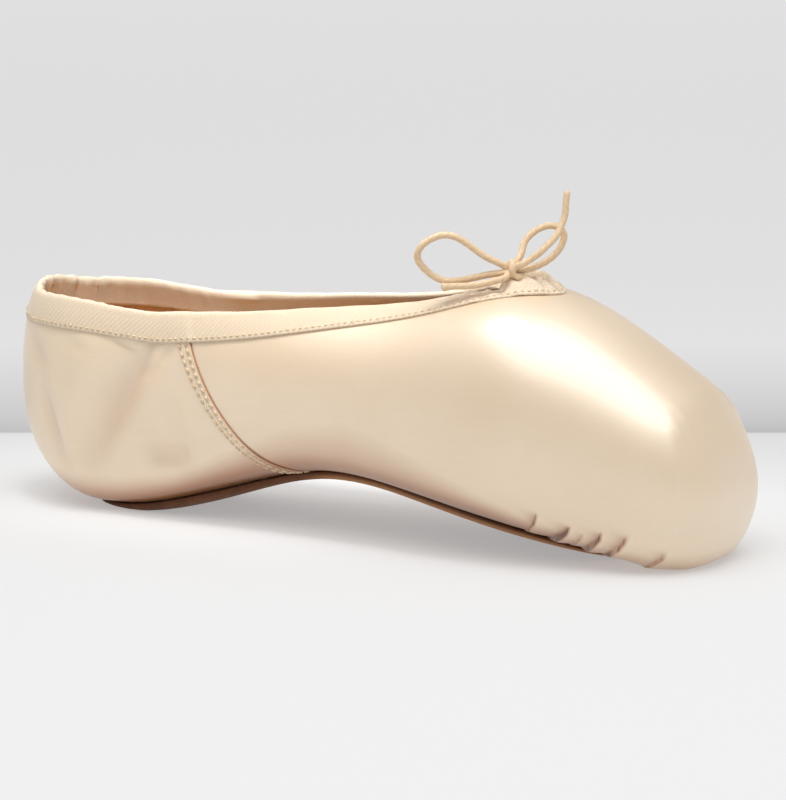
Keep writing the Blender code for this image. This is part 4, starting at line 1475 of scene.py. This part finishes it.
@dataclass
class Drawstring:
    """The drawstring's two ends, tied in a small bow over the throat. Routes are in mm from the knot."""

    cord: bpy.types.Material
    diameter: float = 2.0 * MM
    knot_cord: float = 2.3 * MM
    knot_depth: float = 1.7 * MM
    knot_height: float = 1.75 * MM
    knot_heading: float = 26.75
    fray: float = 1.55
    fray_length: float = 2.2 * MM
    sides: int = 14
    near_route: Route = (
        (5.1, 2.5, -2.9), (3.7, 1.0, -2.3), (2.1, -0.5, -1.9), (0.6, 0.0, -0.6), (1.0, 2.0, 2.0),
        (1.5, 4.0, 4.2), (1.5, 6.0, 7.0), (3.0, 8.0, 9.5), (5.0, 10.0, 11.0), (7.0, 11.5, 11.5),
        (9.5, 12.0, 11.0), (11.0, 12.0, 9.5), (11.0, 11.0, 6.5), (9.5, 9.0, 3.5), (7.0, 6.0, 1.2),
        (4.5, 3.2, 0.0), (2.3, 1.6, -0.3), (0.8, 0.2, 0.3), (2.6, -0.6, 1.2), (5.0, 1.0, 2.6),
        (8.0, 2.5, 5.0), (9.5, 4.5, 7.0), (11.0, 7.0, 9.5), (11.5, 9.0, 12.0), (12.0, 10.5, 15.0),
        (12.0, 11.0, 18.0), (12.0, 12.0, 22.0),
    )
    far_route: Route = (
        (2.8, 6.2, -3.9), (1.4, 4.2, -2.7), (0.0, 2.1, -2.0), (-0.6, 0.4, -0.4), (-1.9, -1.3, 1.2),
        (-5.5, -4.0, 3.4), (-10.5, -7.0, 7.5), (-16.0, -10.5, 10.0), (-19.0, -12.0, 9.0),
        (-21.5, -13.5, 7.0), (-23.0, -13.5, 3.5), (-21.5, -12.5, 0.5), (-19.0, -11.0, -2.0),
        (-16.0, -9.5, -3.3), (-13.0, -7.5, -3.3), (-9.0, -5.0, -2.5), (-5.0, -3.0, -1.5),
        (-2.2, -1.7, -1.1), (-0.4, -1.2, -1.0), (0.0, -2.8, -1.8), (-2.0, -4.8, -2.8),
        (-5.5, -7.0, -3.8), (-9.5, -9.0, -4.4), (-13.5, -10.2, -4.6), (-16.5, -11.5, -5.0),
    )

    def knot_place(self) -> Array:
        """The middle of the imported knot."""
        low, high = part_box("drawstring_knot")
        return (np.array(low) + np.array(high)) / 2

    def smooth_route(self, route: Route, step: float) -> Array:
        """A smooth route through the chosen places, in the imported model's frame."""
        places = np.array(route) * MM + self.knot_place()
        run = run_lengths(places, 0)
        at = np.linspace(0, run[-1], int(run[-1] / step) + 2)
        return np.stack([natural_spline(run, places[:, k], at) for k in range(3)], -1)

    def tube(self, name: str, path: Array, radius: Array) -> bpy.types.Object:
        """A tube along a path, with round ends and a map in mm along and round it."""
        heading = unit(np.gradient(path, axis=0))
        normal = unit(np.cross(heading[0], (0.3, 0.1, 1.0)))
        normals = []
        for way in heading:
            normal = unit(normal - way * (normal @ way))
            normals.append(normal)
        normals = np.array(normals)
        beside = np.cross(heading, normals)
        turn = np.linspace(0, 2 * np.pi, self.sides + 1)
        ring = normals[:, None] * np.cos(turn)[:, None] + beside[:, None] * np.sin(turn)[:, None]
        grid = path[:, None] + ring * radius[:, None, None]
        laid = np.broadcast_arrays(run_lengths(path, 0)[:, None], turn * self.diameter / 2)
        piece = cloth_from_grid(name, grid, True, map_mm=np.stack(laid, -1) / MM)
        mend_mesh(piece, merge=0.004 * MM)
        return piece

    def add_cord(self, name: str, route: Route, fray: float, *replaced: str) -> None:
        """Makes one end of the drawstring from the casing through the knot and its loop to its tip.

        Args:
            name: The cord's name.
            route: Its route in mm from the knot.
            fray: How much thicker its tip is than the cord.
            replaced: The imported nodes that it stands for.
        """
        path = self.smooth_route(route, 0.5 * MM)
        run = run_lengths(path, 0)
        left = run[-1] - run
        tip = self.diameter / 2
        radius = np.full(len(path), tip)
        for past_end in (left, run):
            radius = radius * np.sqrt(np.clip(1 - (1 - np.minimum(past_end / tip, 1)) ** 2, 1e-6, 1))
        radius = radius * (1 + (fray - 1) * (1 - smooth_step(left / self.fray_length)))
        piece = self.tube(name, path, radius)
        dress(piece, self.cord, "cord", *replaced)

    def knot(self) -> None:
        """Makes the turn of cord that ties the bow: a ring round its middle, taller than wide."""
        centre = self.knot_place()
        turn = np.linspace(0, 2 * np.pi, 65)
        slip = 0.5 * MM * np.sin(turn / 2)
        path = np.stack([slip, self.knot_depth * np.cos(turn), self.knot_height * np.sin(turn)], -1)
        path = path @ np.array(Matrix.Rotation(math.radians(self.knot_heading), 3, "Z")).T + centre
        ring = self.tube("bow_knot", path, np.full(len(path), self.knot_cord / 2))
        dress(ring, self.cord, "cord", "drawstring_knot")

    def build(self) -> None:
        """Makes both ends of the drawstring and their knot."""
        self.add_cord(
            "drawstring_near", self.near_route, 1.0,
            "drawstring_lead_near", "bow_loop_front", "drawstring_end_long",
        )
        self.add_cord(
            "drawstring_far", self.far_route, self.fray,
            "drawstring_lead_far", "bow_loop_rear", "drawstring_end_short",
        )
        self.knot()


@dataclass(frozen=True)
class Studio:
    """The pale paper floor, the soft lights and the camera at the picture's angle."""

    azimuth: float = 26.75
    elevation: float = 10.85
    roll: float = -0.33
    distance: float = 1.344
    focal_px: float = 4596.0
    principal_px: tuple[float, float] = (373.6, 422.3)
    picture_px: tuple[int, int] = (786, 800)
    target: tuple[float, float, float] = (0.0, 0.0, 0.030)
    turn_px: float = 433.0
    surround: float = 1.16
    low_sky: str = "#C9C7C6"
    side_sky: str = "#A19E9C"
    high_sky: str = "#D8D9DB"
    key_towards: tuple[float, float, float] = (0.17, -0.20, 0.92)
    key_distance: float = 1.15
    key_size: tuple[float, float] = (1.35, 0.95)
    key_watts: float = 8.2
    fill_at: tuple[float, float, float] = (-0.040, 0.020, 0.055)
    fill_towards: tuple[float, float, float] = (0.0, -0.35, 1.0)
    fill_distance: float = 0.17
    fill_size: tuple[float, float] = (0.14, 0.04)
    fill_spread: float = 55.0
    fill_watts: float = 0.042
    sensor_mm: float = 36.0
    floor_size: float = 60.0
    floor_drop: float = 0.3 * MM

    def axes(self) -> tuple[Vector, Vector, Vector]:
        """The camera's right, up and backward directions."""
        a, e, r = (math.radians(v) for v in (self.azimuth, self.elevation, self.roll))
        back = Vector((math.sin(a) * math.cos(e), -math.cos(a) * math.cos(e), math.sin(e)))
        right = Vector((math.cos(a), math.sin(a), 0))
        up = back.cross(right)
        return right * math.cos(r) - up * math.sin(r), right * math.sin(r) + up * math.cos(r), back

    def eye(self) -> Vector:
        """Where the camera stands."""
        return Vector(self.target) + self.axes()[2] * self.distance

    def floor_point(self, px: float, py: float) -> Vector:
        """Where a point of the picture meets the floor."""
        right, up, back = self.axes()
        across = (px - self.principal_px[0]) / self.focal_px
        rise = (self.principal_px[1] - py) / self.focal_px
        ray = right * across + up * rise - back
        return self.eye() + ray * (-self.eye().z / ray.z)

    def add_camera(self) -> None:
        """Adds the camera, shifted only as far as the picture's framing needs."""
        right, up, back = self.axes()
        data = bpy.data.cameras.new("camera")
        camera = bpy.data.objects.new("camera", data)
        bpy.context.scene.collection.objects.link(camera)
        turned = Matrix((right, up, back)).transposed().to_4x4()
        camera.matrix_world = Matrix.Translation(self.eye()) @ turned
        longest = max(self.picture_px)
        data.sensor_width = self.sensor_mm
        data.lens = self.focal_px * self.sensor_mm / longest
        data.shift_x = (self.picture_px[0] / 2 - self.principal_px[0]) / longest
        data.shift_y = (self.principal_px[1] - self.picture_px[1] / 2) / longest
        data.clip_start = 0.05
        bpy.context.scene.camera = camera

    def add_floor(self) -> None:
        """Adds the paper floor, which turns grey where the picture's wall begins."""
        left = self.floor_point(0, self.turn_px)
        right = self.floor_point(self.picture_px[0], self.turn_px)
        along = right - left
        finish = StudioFloor(turn_at=(left.x, left.y), heading=math.atan2(along.y, along.x)).material()
        clear_selection()
        bpy.ops.mesh.primitive_plane_add(size=self.floor_size, location=(0, 0, -self.floor_drop))
        floor = bpy.context.object
        floor.name = "studio_floor"
        bpy.ops.object.transform_apply(location=True, rotation=False, scale=False)
        floor.data.materials.append(finish)

    def add_area(
        self, name: str, aim: Vector, towards: Vector, distance: float,
        size: tuple[float, float], watts: float,
    ) -> bpy.types.Light:
        """Adds a soft light that shines on a place from a direction.

        Args:
            name: The light's name.
            aim: The place it shines on.
            towards: The direction from that place to the light.
            distance: How far away the light is, in metres.
            size: Its width and height in metres.
            watts: Its power.

        Returns:
            The light's data.
        """
        data = bpy.data.lights.new(name, "AREA")
        data.shape = "RECTANGLE"
        data.size, data.size_y = size
        data.energy = watts
        light = bpy.data.objects.new(name, data)
        bpy.context.scene.collection.objects.link(light)
        towards = towards.normalized()
        light.location = aim + towards * distance
        light.rotation_euler = towards.to_track_quat("Z", "Y").to_euler()
        return data

    def add_lights(self) -> None:
        """Adds the soft lights and the pale surroundings."""
        world = bpy.data.worlds.new("surroundings")
        world.use_nodes = True
        nodes = Nodes(world.node_tree)
        direction = nodes.add("TexCoord", {}).outputs["Generated"]
        height = nodes.add("SeparateXYZ", {"Vector": direction}).outputs["Z"]
        beside = nodes.mix(nodes.ramp(height, 0.02, 0.30), self.low_sky, self.side_sky)
        sky = nodes.mix(nodes.ramp(height, 0.50, 0.80), beside, self.high_sky)
        nodes.set_inputs(world.node_tree.nodes["Background"], {"Color": sky, "Strength": self.surround})
        bpy.context.scene.world = world
        towards = Vector(self.key_towards)
        self.add_area(
            "key_softbox", Vector(self.target), towards, self.key_distance, self.key_size, self.key_watts
        )
        towards = Vector(self.fill_towards)
        fill = self.add_area(
            "inner_fill", Vector(self.fill_at), towards, self.fill_distance, self.fill_size, self.fill_watts
        )
        fill.spread = math.radians(self.fill_spread)
        # The picture's tones are shown as they are
        bpy.context.scene.view_settings.view_transform = "Standard"

    def build(self) -> None:
        """Sets the whole studio."""
        self.add_camera()
        self.add_floor()
        self.add_lights()


def main() -> None:
    """Builds the studio and dresses the shoe."""
    logging.basicConfig(level=logging.INFO, format="%(name)s %(message)s")
    last = Last()
    satin = PeachSatin().material()
    thread = SewingThread().material()
    Studio().build()
    Drawstring(CottonCord().material()).build()
    upper = SatinUpper(last, satin, CottonLining().material(), thread)
    upper.build()
    CollarTape(last, TwillTape().material(), thread, upper).build()
    Sole(last, SoleLeather().material(), InsoleCanvas().material(), upper).build()


if __name__ == "__main__":
    main()
